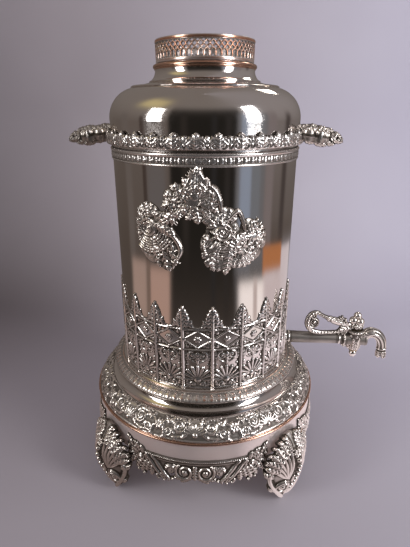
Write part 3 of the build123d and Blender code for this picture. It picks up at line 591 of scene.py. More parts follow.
# slot, colour, roughness, tarnish and the other settings of metal()
LOOKS = (
    ("silver_body", SILVER, 0.06, 0.0, dict(ripple=0.0009, scratch=0.1)),
    ("silver_dome", SILVER, 0.09, 0.0, dict(ripple=0.0006, scratch=0.1)),
    ("silver_base", WORN, 0.22, 0.85, dict(metallic=0.92, chased=0.25)),
    ("silver_collar", WORN, 0.2, 0.55, dict(copper=0.25, metallic=0.9)),
    ("silver_bands", SILVER, 0.2, 0.9, dict(metallic=0.93, chased=0.2)),
    ("silver_arcade", SILVER, 0.16, 1.0, dict(metallic=0.95)),
    ("silver_cartouche", WORN, 0.2, 1.0, dict(metallic=0.94, chased=0.3)),
    ("silver_cast", WORN, 0.2, 1.0, CAST),
    ("silver_feet", WORN, 0.2, 1.0, CAST),
    ("silver_handles", WORN, 0.2, 1.0, CAST),
    ("silver_gallery", (0.84, 0.75, 0.71), 0.22, 0.8, dict(copper=0.4, metallic=0.9)),
    ("silver_tap", WORN, 0.2, 0.9, dict(metallic=0.9, chased=0.15)),
    ("silver_key", WORN, 0.2, 1.0, dict(metallic=0.88, chased=0.15)),
    ("copper_wear", (0.74, 0.47, 0.36), 0.22, 0.4, {}),
    ("brass_inside", (0.70, 0.55, 0.33), 0.3, 0.3, {}),
    ("steel", (0.55, 0.55, 0.56), 0.35, 0.3, {}),
    ("iron", (0.10, 0.09, 0.085), 0.6, 0.6, dict(scratch=0.6)),
    ("rubber", (0.05, 0.05, 0.05), 0.7, 0.0, {}),
)
MATERIALS = {slot: metal(slot, color, rough, tarnish, **more) for slot, color, rough, tarnish, more in LOOKS}
satin = metal("satin_wall", (0.80, 0.715, 0.69), 0.34, 0.0, satin=1.0, scratch=0.5, metallic=0.7)
polished = metal("polished_base", SILVER, 0.09, 0.0, scratch=0.12)
plain_silver = metal("plain_silver", SILVER, 0.16, 0.0)
for subpart in frame["record"]["subparts"]:
    slot_name, slots = subpart["material_slot"], frame["nodes"][subpart["node"]].data.materials
    slots.clear()
    slots.append(plain_silver if slot_name.startswith("silver") else MATERIALS[slot_name])

# ---------------------------------------------------------------- plain turned pieces
turned("vessel_wall", [(95, 119.5), (95, 180), (95, 240), (95, 300), (95, 370), (93.5, 370), (93.5, 119.5)],
       "silver_body", "vessel", "body_shell", segments=384)
dome = [(96.0, 378.8), (96.0, 388)] + arc3((96.0, 397.0), (92.3, 413.0), (75.0, 426.6), 40)
dome += arc3((75.0, 426.6), (73.2, 426.9), (73.9, 427.9), 6)[1:]
dome += [(72.2, 429.0), (66.0, 429.6), (61.0, 430.4), (54.8, 432.0)]
dome += arc3((54.8, 432.0), (55.2, 432.8), (54.0, 433.5), 5)[1:] + arc3((54.0, 433.5), (50.4, 437.6), (49.2, 443.2))[1:]
dome += arc3((47.8, 443.2), (49.0, 436.8), (53.4, 431.4), 10) + [(60.6, 428.9), (74.2, 425.2)]
dome += arc3((74.2, 425.2), (91.1, 412.0), (94.5, 397.0), 24)[1:] + [(94.5, 378.8)]
turned("cover_dome", dome, "silver_dome", "lid", "lid_dome", segments=384)

# ---------------------------------------------------------------- arcade border
# a bay is drawn on one side of u = 0 and mirrored; ribs stand at u = half
BAYS = 20
bay = Field.around(WALL_R, 231.5, 0.55, BAYS, 137.0)
half = pi * WALL_R / BAYS
# the palmette's scrolls, and the scrolls above it
bay.volute(5.0, 142.2, 3.6, -pi / 2, 1.2, high=1.6)
bay.leaf([(8.5, 140.5), (11.4, 143.5), (11.8, 148.5)], 3.0, 3, 1.4)
bay.volute(5.3, 176.2, 4.5, pi / 2, 1.25, -1, 0.95, high=1.7)
bay.stroke([(1.2, 168.0), (5.6, 169.6), (9.8, 174.5), (9.0, 180.5)], [0.6, 1.1, 0.7], 1.5)
bay.leaf([(9.8, 171.0), (12.0, 175.0), (11.6, 181.0)], 2.6, 3, 1.4)
bay.boss(10.6, 165.6, 1.2, high=1.4)
# lozenge
for rise in (-1, 1):
    bay.stroke([(0, 194.4 + rise * 9.4), (half, 194.4)], [1.05], 1.7, n=8)
    bay.leaf([(12.6, 194.4 + rise * 8.6), (8.4, 194.4 + rise * 6.6)], 2.2, 2, 1.2)
# arch over the upper rail, with leaves up the finial's foot
bay.stroke([(1.0, 207.3), (5.6, 208.6), (9.6, 212.4), (11.6, 218.6)], [0.8, 1.2, 0.9], 1.6)
bay.leaf([(5.4, 208.0), (7.6, 211.6), (6.0, 215.6)], 2.8, 3, 1.5)
bay.volute(9.8, 210.4, 3.0, -pi / 2, 1.1, 1, 0.8, high=1.7)
# the rib's beaded edge, its capitals and its finial's leaves
bay.beads([(half + 2.6, 141.5), (half + 2.6, 181.0)], 0.75, 2.0, 1.3)
for root, bend, tip, width, high in (((0, 208.5), (4.2, 212.0), (3.6, 217.4), 3.4, 2.2),
                                     ((0, 213.0), (4.0, 215.6), (5.0, 220.4), 3.0, 2.1),
                                     ((0, 217.0), (3.2, 219.6), (3.6, 224.4), 2.8, 2.2),
                                     ((0, 221.0), (2.0, 223.6), (1.9, 228.0), 2.2, 2.3)):
    bay.leaf([(half + out, height) for out, height in (root, bend, tip)], width, 3, high)
bay.boss(half + 2.4, 205.8, 1.7, high=2.4)
bay.boss(half + 2.2, 183.1, 1.4, high=2.2)
bay.mirrored()
bay.fan(0, 147.5, 15.6, 3.0, 9, high=1.7)
bay.boss(0, 147.2, 2.6, high=2.0)
bay.stroke([(0, 164.0), (0, 170.0)], [0.8, 1.4], 1.6)
bay.leaf([(0, 170.5), (0, 180.4)], 3.2, 3, 1.5)
bay.flower(0, 194.4, 4.0, 6, 1.8)
bay.beads([(0, 206.8), (0, 207.0)], 1.1, high=1.7)
bay.stroke([(half, 137.6), (half, 214.0)], [1.75], 2.3, base=0.4, n=4)
bay.stroke([(half, 213.0), (half, 223.0), (half, 229.6)], [1.7, 2.2, 1.2], 2.6, n=10)
bay.boss(half, 229.2, 1.5, high=2.6)
bay.boss(half, 224.6, 2.6, 1.3, high=2.2)
bay.flower(half, 194.4, 3.4, 5, 2.4)
for height, width, high in ((138.4, 1.1, 1.7), (183.1, 1.15, 1.9), (205.7, 1.15, 1.9), (180.9, 0.4, 1.0),
                            (185.3, 0.4, 1.0), (203.5, 0.4, 1.0), (207.9, 0.4, 1.0)):
    bay.rail(height, width, high)
bay.beads([(-half, 141.2), (half, 141.2)], 0.8, 2.1, 1.3)
bay.softened(0.45)
applied("arcade_relief", bay.tiled(BAYS), on_cylinder(WALL_R), "silver_arcade", "vessel", "arcade_border", depth=1.2)

# ---------------------------------------------------------------- rim band and the ring under the cover
RIM_REPEATS, RIM_R = 84, 95.75
rim = Field.around(RIM_R, 371.4, 0.42, RIM_REPEATS, 361.8)
half = pi * RIM_R / RIM_REPEATS
rim.h += 0.05
rim.leaf([(0, 364.6), (0.3, 367.2), (0, 369.8)], 2.5, 3, 0.8)
rim.boss(half, 366.8, 1.0, high=0.8)
rim.stroke([(half, 364.4), (half, 369.6)], [0.5, 0.9, 0.5], 0.6, n=4)
rim.rail(362.8, 0.75, 0.75)
rim.rail(370.7, 0.7, 0.75)
applied("rim_relief", rim.softened(0.25).tiled(RIM_REPEATS), on_cylinder(RIM_R), "silver_bands", "vessel", depth=0.5)
rim_outline = [(95.1, 362.0), (95.8, 362.0), (96.0, 362.6), (95.6, 363.4), (95.6, 370.2)]
rim_outline += arc3((96.3, 370.2), (96.9, 372.2), (95.2, 373.6), 10) + [(93.6, 373.6), (93.6, 370.1), (95.1, 370.1)]
turned("rim_wire", rim_outline, "silver_bands", "vessel", "rim_band", relief=0.7)

# ---------------------------------------------------------------- leaf border at the dome's foot
BORDER_REPEATS, BORDER_R = 32, 98.0
border_profile = [(96.2, 376.4), (97.6, 376.6)] + arc3((98.6, 377.4), (99.6, 381.6), (97.0, 390.8), 16)
border_place = on_turned(border_profile, BORDER_R)
border = Field.around(BORDER_R, border_place.length, 0.42, BORDER_REPEATS, 0.4)
half = pi * BORDER_R / BORDER_REPEATS
border.volute(4.2, 5.6, 3.2, -pi / 2, 1.15, 1, 0.85, high=1.5)
border.leaf([(2.0, 7.5), (4.4, 9.6), (5.6, 12.4)], 2.6, 3, 1.4)
border.boss(7.6, 3.8, 1.0, high=1.4)
border.mirrored()
border.rail(2.2, 0.9, 1.1)
border.leaf([(0, 3.4), (0, 8.6), (0, border_place.length - 1.2)], 4.6, 4, 1.9)
border.fan(half, 5.6, 5.4, 2.4, 5, high=1.5)
border.leaf([(half, 9.5), (half, 13.0)], 2.4, 2, 1.3)
border.softened(0.3)
# its lower half has no openings
border.h[border.v < 7.5] = np.maximum(border.h[border.v < 7.5], 0.35)
pierced("border_relief", border.tiled(BORDER_REPEATS), border_place, "silver_bands", "lid", "leaf_border", depth=1.3)

# ---------------------------------------------------------------- base: collar, cove, chased zone and skirt wall
COLLAR_REPEATS, COLLAR_R = 88, 104.0
collar_profile = [(98.6, 137.3), (99.5, 136.6), (99.5, 135.3)]
collar_profile += arc3((100.0, 135.0), (105.2, 134.0), (109.4, 130.8), 16)
collar_profile += arc3((109.4, 130.8), (110.0, 129.2), (108.8, 127.6), 8)[1:]
outline = collar_profile + arc3((108.8, 127.6), (105.4, 124.0), (104.6, 119.5))[1:] + [(95.1, 119.5), (95.1, 137.3)]
collar_body = turned("collar_body", outline[::-1], "silver_collar", "vessel", "base_collar", segments=320, relief=0.6)
collar_body.data.materials[0] = polished
collar_place = on_turned(collar_profile[::-1], COLLAR_R)
collar = Field.around(COLLAR_R, collar_place.length - 2.4, 0.45, COLLAR_REPEATS, 2.6)
half = pi * COLLAR_R / COLLAR_REPEATS
low, high = collar.v[0], collar.v[-1]
collar.leaf([(0, low + 8.2), (0, low + 4.6), (0, low + 1.0)], 2.9, 3, 0.42, sweep=0.5)
collar.stroke([(half, low + 8.0), (half, low + 2.0)], [0.3, 0.6], 0.3, n=6)
collar.rail(high - 0.8, 0.6, 0.6)
collar.h += 0.06
applied("collar_relief", collar.softened(0.3).tiled(COLLAR_REPEATS), collar_place, "silver_collar", "vessel", depth=0.5)

cove = arc3((103.5, 119.5), (107.0, 116.2), (112.6, 114.6), 16)
zone = arc3((112.6, 114.6), (123.8, 107.4), (130.2, 96.6), 30)
outline = [(78, 118.0), (78, 119.5)] + cove + zone[1:] + [(131.0, 94.6), (131.0, 66.0), (129.5, 66.0), (129.5, 94.0)]
outline += arc3((128.6, 96.2), (122.5, 106.4), (112.2, 113.1), 20)
outline += arc3((112.2, 113.1), (106.0, 114.7), (102.6, 118.0), 8)[1:]
base_body = turned("base_body", outline[::-1], "silver_base", "vessel", "base_shell", segments=384,
                   relief=ROUNDED_RELIEF)
base_body.data.materials[0] = polished
base_body.data.materials.append(satin)
for polygon in base_body.data.polygons:
    x, y, z = polygon.center
    if z < 94.6 * MM and hypot(x, y) > 129.5 * MM:  # the skirt wall's outer face
        polygon.material_index = 1
wire_outline = arc3((130.4, 96.5), (132.2, 96.4), (132.1, 94.6), 10) + [(130.9, 94.0), (130.3, 94.6)]
turned("base_wire", wire_outline[::-1], "copper_wear", "vessel", "base_edge_wire", segments=384)

ZONE_REPEATS, ZONE_R = 10, 122.0
zone_place = on_turned(zone[::-1], ZONE_R)
deep = zone_place.length
mid = 0.5 * deep
half = pi * ZONE_R / ZONE_REPEATS
chased = Field.around(ZONE_R, deep - 0.4, 0.55, ZONE_REPEATS, 0.3)
chased.h += 0.05
chased.volute(16.0, mid + 2.0, 6.4, pi, 1.7, 1, 1.0, high=1.8)
chased.volute(27.5, mid - 4.5, 4.6, 0, 1.5, -1, 0.8, high=1.6)
chased.stroke([(12, mid - 7.5), (19, mid - 9.0), (27, mid - 8.5)], [0.7, 1.0, 0.6], 1.3)
chased.leaves(((9, 5.5, 17, 10.8, 2.6), (15, 9.5, 25, 8.2, 2.4), (21, 4.0, 28, 7.0, 2.4), (27, 3.0, 33, 9.5, 2.4),
               (8, -5.0, 13.5, -9.8, 2.0), (11, -4.0, 19, -4.8, 2.0), (33, -1, 31, -10, 2.2), (22, -9, 17, -12.4, 1.8),
               (24, -1, 21, -7, 1.8), (5, 3, 8, 11.5, 2.0), (34, 2, 31, 5, 1.6), (29, -10, 35, -12.6, 1.8)),
              1.5, 3, lift=0.9, up=mid)
chased.beads([(4, mid + 9.2), (9, mid + 12.0), (15, mid + 12.4)], 0.7, high=1.1)
chased.beads([(22, mid + 11.4), (27, mid + 10.6)], 0.7, high=1.1)
chased.mirrored()
chased.fan(0, mid - 5.5, 10.5, 2.7, 9, high=1.5)
chased.fan(0, mid + 4.5, 6.0, 2.2, 7, high=1.4)
chased.flower(half, mid + 0.5, 6.0, 7, 1.6)
chased.rail(1.3, 0.7, 0.8)
chased.rail(deep - 1.5, 0.5, 0.7)
applied("base_chasing", chased.softened(0.4).tiled(ZONE_REPEATS), zone_place, "silver_base", "vessel")

# ---------------------------------------------------------------- cartouches
cart = Field(-67, 75, 257, 368, 0.4)
GROUND = ((0, 354, 6, 9), (0, 342, 11, 12), (-14, 338, 12, 10), (12, 338, 9, 10), (-24, 336, 7, 7), (-12, 326, 14, 9),
          (8, 324, 12, 9), (17, 330, 6, 10), (-28, 316, 10, 7), (-20, 322, 10, 6),
          (-46, 320, 12, 9), (-55, 312, 8, 9), (-36, 314, 8, 9), (-44, 300, 17, 17), (-28, 292, 14, 14),
          (-42, 282, 14, 11), (-28, 275, 9, 9), (-54, 290, 8, 12), (-20, 289, 6, 12),
          (16, 318, 9, 8), (27, 319, 10, 8), (24, 303, 16, 15), (12, 293, 9, 12), (34, 291, 16, 14), (48, 297, 12, 14),
          (58, 297, 11, 13), (52, 283, 12, 9), (36, 277, 13, 8), (22, 276, 10, 9), (63, 293, 7, 9), (48, 309, 8, 7))
for x, y, rx, ry in GROUND:
    cart.boss(x, y, rx, ry, high=1.5)
# fans of leaves: centre, half width, half height, leaves in a ring, their width and height, where they start and
# how far they go round (in half turns), lobes, base
for x, y, rx, ry, count, width, high, start, span, lobes, base in (
        (-4, 333, 27, 19, 12, 3.8, 2.0, 0.1, 0.92, 4, 0.0), (-2, 337, 15, 14, 9, 3.2, 2.3, 0.12, 0.8, 3, 0.4),
        (-47, 311, 14.5, 19, 11, 3.4, 1.9, 0.28, 0.80, 4, 0.0), (-47, 296, 15, 21, 11, 3.6, 1.5, 0.93, 0.75, 4, 0.0),
        (22, 311, 18, 17, 11, 3.6, 1.9, 0.22, 0.70, 4, 0.0), (18, 291, 14, 24, 10, 3.6, 1.6, 0.86, 0.66, 4, 0.0),
        (42, 286, 18, 17, 10, 3.6, 1.9, 1.36, 0.50, 4, 0.0), (54, 298, 14.5, 14, 11, 3.4, 1.9, -0.30, 0.95, 4, 0.2)):
    cart.tuft(x, y, rx, ry, count, width, high, start, span, lobes, base)
# single leaves: spine, width, lobes, height, base
for spine, width, lobes, high, base in (
        ([(-7, 340), (-9, 348), (-12, 353.5)], 4.2, 4, 2.6, 0.0),
        ([(6, 341), (8.5, 348), (8.5, 354)], 3.8, 4, 2.6, 0.0),
        ([(10, 328), (14, 334), (15, 342)], 4.4, 4, 2.7, 0.0), ([(17, 289), (14, 280), (13.5, 271)], 4.8, 4, 2.5, 0.2),
        ([(-33, 288), (-29, 276), (-25.5, 265.5)], 5.6, 5, 2.6, 0.2),
        ([(-27, 288), (-21, 281), (-20, 272)], 4.2, 4, 2.6, 0.2),
        ([(-40, 286), (-38, 276), (-36, 268.5)], 4.8, 4, 2.5, 0.2),
        ([(-36, 308), (-28, 305.5), (-20, 299)], 4.8, 5, 1.9, 1.2),
        ([(30, 286), (28, 275), (26, 263.5)], 5.4, 5, 2.6, 0.2)):
    cart.leaf(spine, width, lobes, high, base=base)
cart.leaves(((-4, 328, -19, 322, 5.2), (-9, 324, -30, 317, 5.0), (-2, 326, -9, 316, 4.6), (0, 326, 1, 312.6, 5.0),
             (4, 326, 12, 316.5, 4.6), (-16, 321, -36, 311, 4.6), (-14, 328, -33, 327, 4.4), (6, 331, 19, 323, 4.4),
             (-22, 316, -37, 306, 3.8)), 2.4, lift=1.6, base=0.3)
cart.leaves([(35, 296, x, y, 3.4) for x, y in ((45, 303), (48, 297), (46, 290), (41, 284), (34, 282))], 2.0,
            lift=0.8, base=1.3)
# the crest's top leaf, and the plain curled edges
for across in (-7.6, -3.8, 0, 3.8, 7.2):
    cart.stroke([(across * 0.7, 337), (across, 347), (0.45 * across, 357), (0.3, 363.2)], [1.4, 2.4, 1.8, 0.7],
                2.9 - 0.08 * abs(across), n=40)
for points, widths, high, base in (
        ([(11, 347), (16.4, 342), (20.4, 333), (21.6, 325)], [1.4, 2.4, 2.6, 1.5], 2.9, 0.0),
        ([(-24, 303), (-16.5, 293), (-15.2, 285), (-19.5, 277)], [1.3, 2.3, 2.2, 1.2], 2.6, 0.6),
        ([(-29, 298), (-22.6, 290), (-23.5, 281)], [1.0, 1.6, 0.9], 2.3, 0.6),
        ([(28, 316), (36.5, 323.5), (42, 315), (44.5, 304)], [1.2, 2.2, 2.2, 1.1], 2.8, 0.4)):
    cart.stroke(points, widths, high, base)
# two ringed volutes in shells of fine lines, left and right
for x, y, flat, inner, outer, start, lead, end, width, high, base in (
        (-46, 305, 0.92, 10.8, 27.0, -2.2, 0.0, 0.022, 1.35, 1.9, 1.3),
        (23, 304, 0.9, 11.2, 25.0, -2.3, 0.02, 0.02, 1.3, 1.8, 1.2)):
    for r in np.arange(inner, outer, 2.7):
        turns = np.linspace(start + lead * r, 0.10 - end * r, 9)
        cart.stroke([(x + r * cos(a), y + flat * r * sin(a)) for a in turns], [0.7, width, 0.7], high, base)
cart.volute(-46, 306, 8.6, pi / 2, 1.9, 1, 1.25, 2.4, 0.26, 1.9)
cart.volute(23, 304.5, 8.4, pi / 2, 1.9, -1, 1.25, 2.4, 0.26, 1.7)
# small volutes: centre, radius, start, turns, hand, width, height, base
for x, y, r, start, turns, hand, width, high, base in (
        (-7, 336, 4.6, 0.5, 1.3, 1, 1.1, 1.6, 1.3), (6.5, 331, 4.2, 2.4, 1.3, -1, 1.0, 1.5, 1.3),
        (-19, 331, 3.6, 0.5, 1.2, 1, 0.9, 1.5, 1.1), (53, 309, 4.8, -0.6, 1.3, 1, 1.1, 1.8, 1.1),
        (60, 300, 4.2, 0.4, 1.2, -1, 1.0, 1.7, 1.1), (50, 286, 4.0, 0.4, 1.2, -1, 1.0, 1.6, 1.1)):
    cart.volute(x, y, r, start, turns, hand, width, high, base=base)
for points, base in (([(-13, 330), (-5, 327.5), (3, 326)], 1.7), ([(10, 302), (6.5, 293), (8.5, 284)], 1.6),
                     ([(-58, 312), (-60.5, 303), (-58.5, 292)], 1.4)):
    cart.beads(points, 1.0, high=1.2, base=base)
cart.boss(-27.5, 304.5, 8.6, 4.8, -0.5, 1.7, 0.6)
cart.boss(39, 294, 8.2, 6.2, 0.5, 1.7, 0.8)
# curls strewn over the ground: centre, half width, half height, how many
curls = np.random.default_rng(5)
for x, y, rx, ry, count in ((-46, 305, 17, 22, 62), (24, 302, 17, 22, 62), (54, 298, 13, 14, 40), (-4, 332, 24, 15, 70),
                            (-24, 320, 13, 8, 28), (38, 290, 16, 11, 34), (0, 350, 8, 12, 26), (-28, 283, 12, 14, 28)):
    for _ in range(count):
        turn, out = curls.uniform(0, 2 * pi), sqrt(curls.uniform(0.12, 1.0))
        at = np.array([x + out * rx * cos(turn), y + out * ry * sin(turn)])
        row, column = np.searchsorted(cart.v, at[1]) - 1, np.searchsorted(cart.u, at[0])
        ground = cart.h[row, np.clip(column, 0, len(cart.u) - 1)]
        if ground < 0.5:
            continue
        away, size = turn + curls.uniform(-0.5, 0.9), curls.uniform(2.2, 3.8)
        ahead, aside = np.array([cos(away), sin(away)]), np.array([-sin(away), cos(away)])
        cart.stroke([at - size * ahead, at + 0.28 * size * aside, at + size * ahead], [0.35, 0.75, 0.4], 0.95,
                    0.86 * ground, n=10)
cart.softened(0.26)
for label, turn in (("front", 0), ("back", 180)):
    applied("cartouche_relief_" + label, cart, spun(on_cylinder(WALL_R), turn), "silver_cartouche", "vessel",
            "cartouche_" + label, depth=1.0)

# ---------------------------------------------------------------- crown
GALLERY_CELLS, GALLERY_R = 56, 47.0
gallery_place = on_turned([(47.3, 448.6), (47.4, 456.0), (47.6, 465.0), (47.5, 468.9)], GALLERY_R)
half = pi * GALLERY_R / GALLERY_CELLS
ring = Field.around(GALLERY_R, gallery_place.length, 0.26, GALLERY_CELLS)
ring.h += 0.22
ring.rail(1.6, 1.7, 0.5, 0.2)
for far in (-half, half):
    ring.stroke([(far, 3.6), (far, 7.4), (0, 10.4), (-far, 13.4), (-far, 13.6)], [0.55, 0.5, 0.5, 0.5, 0.5], 0.75, n=20)
    ring.stroke([(0, 10.4), (far, 13.4), (0, 16.2)], [0.5], 0.7, n=12)
for x, y, rx, ry, power in ((0, 6.0, 1.5, 2.7, 2.6), (half, 10.6, 1.35, 1.35, 1.2), (0, 13.3, 1.55, 1.5, 1.2),
                            (half, 16.0, 1.45, 1.0, 1.2)):
    ring.hole(x, y, rx, ry, power)
ring.rail(19.0, 1.9, 0.95, 0.15)
pierced("gallery_relief", ring.tiled(GALLERY_CELLS), gallery_place, "silver_gallery", "crown", "gallery_ring",
        depth=0.9)
bead_outline = [(46.2, 443.2), (49.8, 443.2)] + arc3((50.0, 444.1), (51.1, 446.1), (49.5, 448.0)) + [(46.2, 448.0)]
turned("neck_bead_wire", bead_outline, "copper_wear", "lid", "neck_bead", relief=0.6)

# ---------------------------------------------------------------- handles
# the grip lies flat, with u away from the cover, and is drawn on one side of v = 0
SLOPE = radians(7.0)
OUTWARD = (cos(SLOPE), 0, -sin(SLOPE))
grip = Field(-1.0, 40.6, -37.0, 37.0, 0.42)
grip.stroke([(1.5, 28.0), (9, 29.2), (18, 28.4), (26.5, 21.5), (33, 11.5), (34.5, 0)],
            [3.6, 4.4, 4.4, 4.2, 4.0, 4.0], 5.0)
for x, y, r, start, turns, hand, width, high in (
        (7.5, 30.0, 6.4, 0, 1.5, -1, 1.6, 6.4), (17.5, 30.8, 5.4, pi / 2, 1.4, 1, 1.4, 6.6),
        (34.5, 9.5, 4.6, -pi / 2, 1.3, 1, 1.2, 5.6), (25.5, 13.5, 4.0, pi, 1.3, 1, 1.1, 5.6)):
    grip.volute(x, y, r, start, turns, hand, width, high)
for spine, width, lobes, high in (([(12, 25), (20, 27.5), (27.5, 27)], 5.4, 5, 7.6),
                                  ([(20, 24), (25.5, 18.5), (27, 12.5)], 4.6, 4, 8.4),
                                  ([(25, 23), (31, 20), (35.8, 14.5)], 4.8, 4, 6.8),
                                  ([(30, 14), (35.0, 9.5), (38.8, 4.5)], 4.4, 4, 6.2),
                                  ([(10, 24.0), (5, 21.5), (1, 22.0)], 4.0, 4, 6.2)):
    grip.leaf(spine, width, lobes, high)
grip.beads([(23, 26), (30.0, 17), (34.5, 5)], 1.4, 2.2, 1.8, base=4.6)
grip.mirrored(0)
grip.fan(33.5, 0, 6.4, 2.6, 7, lean=0, high=5.4)
grip.boss(33.2, 0, 3.0, high=6.2)
grip.softened(0.3)
spray = Field(-1.0, 40.5, -11.0, 12.0, 0.4)
spray.leaves(((1, 1.5, 14, 7.8, 3.6), (8, 3, 24, 8.6, 3.6), (17, 3.5, 30, 7.6, 3.2), (25, 2.0, 38, 3.4, 3.0),
              (1, -1.5, 13, -6.0, 3.4), (9, -2, 25, -6.8, 3.6), (19, -2, 32, -5.0, 3.0), (28, -0.5, 40, -1.6, 2.8),
              (3, 0, 3, 6.5, 2.6), (12, -1, 17, -8.2, 2.6), (12, 2, 19, 9.8, 2.4), (31, 1, 34, 6.6, 2.2)),
             4.2, middle=0.56)
for x, y, r, hand in ((8.5, 0.6, 4.2, 1), (20.5, 0.4, 3.8, -1), (30.0, 0.4, 3.0, 1), (36.5, 0.2, 2.2, -1)):
    spray.volute(x, y, r, 0.5, 1.4, hand, 0.9, 4.2, base=0.6)
spray.beads([(4, 3.6), (14, 5.4), (25, 4.4)], 0.9, 2.6, 1.0, base=4.0)
spray.softened(0.25)
for label, turn in (("right", 0), ("left", 180)):
    pierced("handle_scroll_" + label, grip, spun(on_plane((95.0, 0, 385.0), OUTWARD, (0, 1, 0)), turn),
            "silver_handles", "lid", "handle_" + label, both=0.82, cut=0.25)
    for limb, across in (("near", -1), ("far", 1)):
        face = on_plane((95.6, across * 25.5, 385.0), OUTWARD, (0, 0, 1))
        pierced("handle_spray_" + label + "_" + limb, spray, spun(face, turn), "silver_handles", "lid",
                both=1.0, cut=0.25)

# ---------------------------------------------------------------- tap: fixed pieces
tube_place, pipe = sleeve([(7.35, 95.2), (7.3, 100), (7.0, 120), (6.6, 145), (6.3, 167.0)], 7.0, 0.8, (0, TAP_Z), True)
for at in (6.5, 66.5):
    pipe.stroke([(-22, at), (22, at)], [0.8], 0.6, n=4)
laid("tap_pipe", pipe, tube_place, "silver_tap", "vessel", "tap_tube", depth=2.2)
rose_place, rose = sleeve([(9.3, 95.4), (9.6, 97.0), (9.0, 98.6), (7.7, 99.5)], 9.0, 0.4, (0, TAP_Z), True)
for across in evenly(12, 9.0):
    rose.boss(across, rose_place.length * 0.62, 1.9, 2.0, high=0.35)
laid("tap_rose", rose, rose_place, "silver_tap", "vessel", "tap_flange", depth=0.6)

valve_place, valve = sleeve([(5.6, 136.6), (6.2, 138.6), (6.9, 142.0), (7.6, 147.0), (8.3, 152.5), (9.0, 158.0),
                             (9.4, 161.0), (8.6, 163.3)], 8.0, 0.34, (VALVE_X, 0))
for across in evenly(8, 8.0):
    valve.leaf([(across, 2.0), (across, 10.0), (across, 18.0)], 2.9, 4, 1.0, sweep=0.9)
    valve.stroke([(across + pi, 1.5), (across + pi, 8.0), (across + pi, 14.0)], [0.9, 0.8, 0.4], 0.8)
    valve.boss(across + pi, 19.6, 1.5, high=0.9)
valve.beads([(-25.2, 24.6), (25.2, 24.6)], 1.1, 2.05, 0.8)
valve.stroke([(-26, 1.0), (26, 1.0)], [0.9], 0.7, n=4)
laid("valve_leaves", valve.softened(0.25), valve_place, "silver_tap", "vessel", "tap_body", depth=0.9)
socket_place, socket = sleeve([(6.6, 165.6), (7.6, 166.4), (7.9, 168.4), (7.4, 170.4), (7.4, 191.6), (7.9, 193.0),
                               (7.2, 194.6), (5.9, 195.0)], 7.4, 0.5, (0, TAP_Z), True)
socket.beads([(-23.2, 2.6), (23.2, 2.6)], 0.9, 2.1, 0.6)
laid("valve_socket", socket, socket_place, "silver_tap", "vessel", depth=0.8)
foot_leaf = Field(-19, 1, 136.5, 150.5, 0.36)
foot_leaf.leaves(((-3, 147, -13.5, 141.0, 4.6), (-2, 144, -8.5, 138.0, 4.0), (-3, 149, -16.6, 145.6, 3.6)),
                 3.0, lift=-0.8)
foot_leaf.beads([(-17.2, 147.2), (-15.8, 143.2), (-12.2, 139.8)], 1.2, 2.1, 3.4)
pierced("valve_foot_leaf", foot_leaf.softened(0.25), on_plane((VALVE_X, 0, 0), (1, 0, 0), (0, 0, 1)), "silver_tap",
        "vessel", both=1.0, cut=0.25)

MOUTH = (214.2, 0)  # the axis of the spout's mouth
spout_line = smooth([(189.6, 150.5), (193.4, 156.0), (199.0, 158.8), (205.2, 157.4), (210.4, 152.6), (213.2, 146.0),
                     (214.0, 137.6)], 60)
spout_place = on_bar(spout_line, 5.0)
flutes = Field.around(5.0, spout_place.length, 0.32)
round_it, down_it = flutes.u[None], flutes.v[:, None]
flutes.h += 0.7 * (0.5 + 0.5 * np.cos(8 * round_it / 5.0)) + 0.9 * np.exp(-((down_it - 13.0) / 9.0) ** 2)
flutes.h -= 0.9 * np.clip(1 - down_it / 6.0, 0, 1)
for across in evenly(6, 5.0):
    flutes.leaf([(across, 3.0), (across, 9.0), (across, 15.0)], 2.4, 4, 1.0, base=0.7)
flutes.stroke([(-18, spout_place.length - 1.0), (18, spout_place.length - 1.0)], [1.0], 1.0, n=4)
laid("spout_flutes", flutes.softened(0.2), spout_place, "silver_tap", "vessel", "spout", depth=1.9)
beak_place, beak = sleeve([(4.8, 125.5), (5.3, 128.0), (5.2, 131.0), (4.9, 134.0), (4.9, 137.6)], 5.2, 0.3, MOUTH)
for k, across in enumerate(evenly(7, 5.2)):
    beak.leaf([(across, 9.6), (across + 0.8, 5.0), (across - 0.6, 0.9 + 2.6 * (k % 2))], 2.5, 4, 1.2)
    beak.boss(across + 1.2, 2.2 + 3.0 * ((k + 1) % 2), 0.9, high=1.3)
beak.stroke([(-17, 9.4), (17, 9.4)], [0.6], 0.5, n=4)
pierced("spout_beak", beak.softened(0.2), beak_place, "silver_tap", "vessel", cut=0.1, depth=0.8)
neck_place, neck = sleeve([(3.7, 130.5), (4.1, 134.0), (4.6, 137.4)], 4.2, 0.6, MOUTH)
laid("spout_neck", neck, neck_place, "silver_tap", "vessel", depth=0.5)

